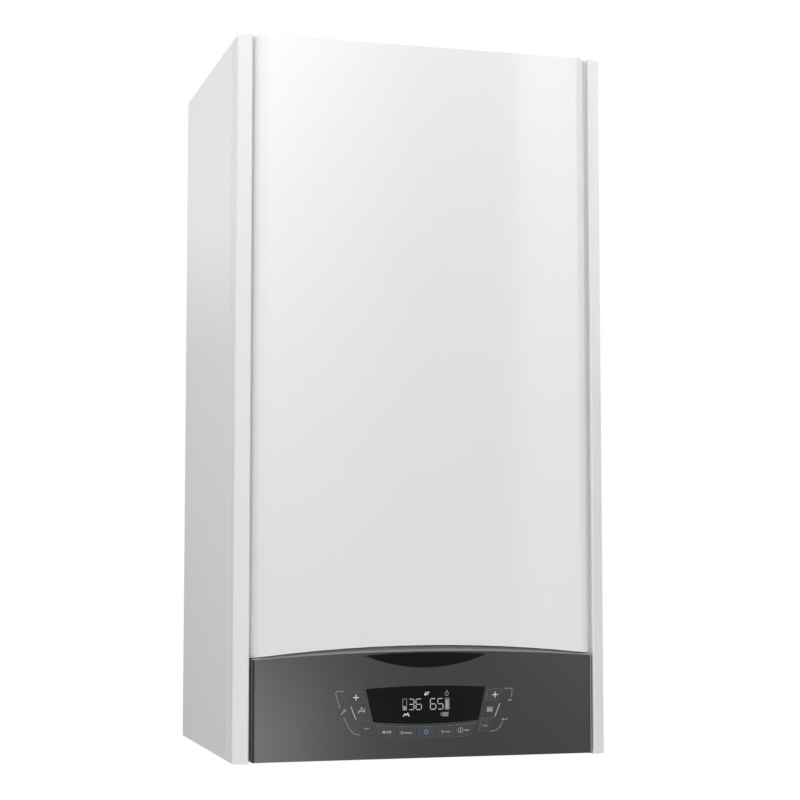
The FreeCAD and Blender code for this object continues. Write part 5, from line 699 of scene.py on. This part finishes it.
paint, floor_tree, floor_shader, floor_place = new_finish("matt_painted_floor")
floor_shader.inputs["Base Color"].default_value = linear("#f4f4f4")
floor_shader.inputs["Roughness"].default_value = 0.9
white = put(floor_tree, "ShaderNodeEmission", {"Color": linear("#ffffff"), "Strength": 1.0})
centred = put(floor_tree, "ShaderNodeMapping", {"Vector": floor_place,
                                                "Location": (0, FLOOR_FORWARD, FLOOR_DROP - foot)})
away = put(floor_tree, "ShaderNodeVectorMath", {0: centred.outputs["Vector"]}, operation="LENGTH")
fade = put(floor_tree, "ShaderNodeMapRange",
           {"Value": away.outputs["Value"], "From Min": FADE_START * FLOOR_RADIUS,
            "From Max": FADE_END * FLOOR_RADIUS, "To Min": FADE_LEAST}, interpolation_type="SMOOTHSTEP")
blend = put(floor_tree, "ShaderNodeMixShader", {0: fade.outputs["Result"], 1: floor_shader.outputs["BSDF"],
                                                2: white.outputs["Emission"]})
floor_tree.links.new(blend.outputs["Shader"], floor_tree.nodes["Material Output"].inputs["Surface"])
floor_mesh.materials.append(paint)
print("floor fades from", FADE_START, "to", FADE_END, "of its radius")

# %% [markdown]
# ## Studio around the boiler
# As in a studio, a white backdrop lit from above stands behind the boiler, and the room on the
# photographer's side is dim, with a pale wall on the left that is bright high up. They could be
# modelled, but the world shader can tell by a ray's direction what it meets. So the camera sees white,
# and a reflection shows the backdrop's bright top, its dimmer foot, the wall or the dim room. That is
# what makes the side panel pale above and grey below, and the front panel's left rounding as bright as
# its face.

# %% Studio around the boiler
WORLD_LIGHT = 0.265
ROOM_LIGHT = 0.16
WALL_TOP = 1.9
BACKDROP_FOOT = 0.34
BACKDROP_WAIST = 0.62
# Parts of a ray's direction: upward Z at the backdrop's foot, waist and top and at the wall's top, X at
# the wall's edges, Y where the room gives way to the backdrop.
FOOT_Z, WAIST_Z, TOP_Z = -0.09, 0.105, 0.17
WALL_FOOT_Z, WALL_TOP_Z = 0.0, 0.23
WALL_X, ROOM_X = 0.08, 0.12
ROOM_Y, BACKDROP_Y = -0.5, 0.3

world = bpy.data.worlds.new("studio")
bpy.context.scene.world = world
world.use_nodes = True
sky = world.node_tree
sky.nodes.clear()
rays = put(sky, "ShaderNodeLightPath")
way = put(sky, "ShaderNodeTexCoord").outputs["Generated"]
pointing = put(sky, "ShaderNodeSeparateXYZ", {"Vector": way}).outputs
lower = put(sky, "ShaderNodeMapRange", {"Value": pointing["Z"], "From Min": FOOT_Z, "From Max": WAIST_Z,
                                        "To Min": BACKDROP_FOOT, "To Max": BACKDROP_WAIST})
backdrop = put(sky, "ShaderNodeMapRange", {"Value": pointing["Z"], "From Min": WAIST_Z, "From Max": TOP_Z,
                                           "To Min": lower.outputs["Result"], "To Max": 1.0})
wall = put(sky, "ShaderNodeMapRange", {"Value": pointing["Z"], "From Min": WALL_FOOT_Z,
                                       "From Max": WALL_TOP_Z, "To Min": ROOM_LIGHT, "To Max": WALL_TOP})
room = put(sky, "ShaderNodeMapRange", {"Value": pointing["X"], "From Min": WALL_X, "From Max": ROOM_X,
                                       "To Min": wall.outputs["Result"], "To Max": ROOM_LIGHT})
mirrored = put(sky, "ShaderNodeMapRange", {"Value": pointing["Y"], "From Min": ROOM_Y,
                                           "From Max": BACKDROP_Y, "To Min": room.outputs["Result"],
                                           "To Max": backdrop.outputs["Result"]})
print("a reflection meets a level of", ROOM_LIGHT, "to", WALL_TOP)

# %% [markdown]
# ## Which ray sees what
# The Light Path node tells rays apart. The camera, also through glass, meets a strength of 1, which is
# white. A mirror ray meets the studio above. All other rays meet an even, weak light that fills the
# shadows, so the white background adds no light to the boiler.

# %% Which ray sees what
seen = put(sky, "ShaderNodeMath", {0: rays.outputs["Is Camera Ray"],
                                   1: rays.outputs["Is Transmission Ray"]}, operation="MAXIMUM")
fill = put(sky, "ShaderNodeMapRange", {"Value": rays.outputs["Is Glossy Ray"], "To Min": WORLD_LIGHT,
                                       "To Max": mirrored.outputs["Result"]})
strength = put(sky, "ShaderNodeMapRange", {"Value": seen.outputs["Value"], "To Min": fill.outputs["Result"],
                                           "To Max": 1.0})
surround = put(sky, "ShaderNodeBackground", {"Color": linear("#ffffff"),
                                             "Strength": strength.outputs["Result"]})
put(sky, "ShaderNodeOutputWorld", {"Surface": surround.outputs["Background"]})
print("world light", WORLD_LIGHT)

# %% [markdown]
# ## Soft boxes
# A soft box is a large, evenly lit rectangle, which an area lamp gives directly. Some boxes have their
# tube near one side or one end, and so are graded. A lamp's own nodes can do that: the Parametric
# coordinate runs from 0 to 1 across and up the rectangle, and sets the strength.

# %% Soft boxes
def soft_box(name, place_m, size, power, aim):
    """A rectangular area lamp at a place, turned so that its -Z axis points at aim."""
    lamp = bpy.data.lights.new(name, "AREA")
    lamp.shape = "RECTANGLE"
    lamp.size, lamp.size_y = size
    lamp.energy = power
    line = np.array(aim) - np.array(place_m)
    line = line / np.linalg.norm(line)
    thing = add_object(name, lamp)
    thing.location = place_m
    thing.rotation_euler = (math.acos(-line[2]), 0.0, math.atan2(-line[0], line[1]))
    return lamp


def grade(lamp, sides, levels):
    """Strength runs evenly from the first to the second of sides, left to right, times the same of levels,
    foot to head."""
    lamp.use_nodes = True
    tree = lamp.node_tree
    spot = put(tree, "ShaderNodeSeparateXYZ", {0: put(tree, "ShaderNodeNewGeometry").outputs["Parametric"]})
    across = put(tree, "ShaderNodeMapRange", {"Value": spot.outputs["X"], "To Min": sides[0],
                                              "To Max": sides[1]})
    upward = put(tree, "ShaderNodeMapRange", {"Value": spot.outputs["Y"], "To Min": levels[0],
                                              "To Max": levels[1]})
    graded = put(tree, "ShaderNodeMath", {0: across.outputs["Result"], 1: upward.outputs["Result"]},
                 operation="MULTIPLY")
    tree.links.new(graded.outputs["Value"], tree.nodes["Emission"].inputs["Strength"])


FRONT_Y = -0.3
panel_top = (0.0, FRONT_Y, foot + 0.65)
panel_right = (0.1, FRONT_Y, foot + 0.85)
stile_right = (0.2, FRONT_Y, foot + 0.6)
fascia_left = (-0.15, FRONT_Y, foot + 0.06)
side_middle = (-0.2, -0.2, foot + 0.5)
print("soft boxes aim at panel, right stile, fascia and side panel")

# %% [markdown]
# ## Lamps
# Six soft boxes. A broad one high in front lights the front panel from above. A tall narrow one on the
# left lights the side panel and the left stile, one on the right whitens the right stile towards its
# top. A tall strip in front on the right shows as the pale band along the panel's right edge. Another
# in front is graded both ways: it shows as the sheen that fades from the panel's upper left. A low one
# in front lies where the fascia's left end mirrors its edge.

# %% Lamps
STUDIO_FRONT_Y = -2.8

# In each call: the box's place, its width and height in metres, its power in watts and what it points at.
soft_box("soft_box_top", (-0.42, -1.3, foot + 1.82), (1.6, 1.0), 22.4, panel_top)
soft_box("soft_box_side", (-1.17, -0.2, foot + 0.5), (0.3, 1.3), 3.2, side_middle)
strip = soft_box("soft_box_strip", (1.29, STUDIO_FRONT_Y, foot + 0.68), (0.6, 2.15), 6.56, panel_right)
grade(strip, sides=(1.0, 1.0), levels=(0.3, 1.6))
sheen = soft_box("soft_box_sheen", (0.41, STUDIO_FRONT_Y, foot + 0.85), (0.62, 1.7), 5.4, panel_top)
grade(sheen, sides=(2.0, 0.0), levels=(0.0, 2.0))
soft_box("soft_box_right", (1.15, -0.25, foot + 0.98), (0.4, 1.0), 4.3, stile_right)
soft_box("soft_box_low", (0.1, STUDIO_FRONT_Y, foot - 0.255), (0.6, 0.39), 3.3, fascia_left)
print("lamps: top, side, strip, sheen, right, low")
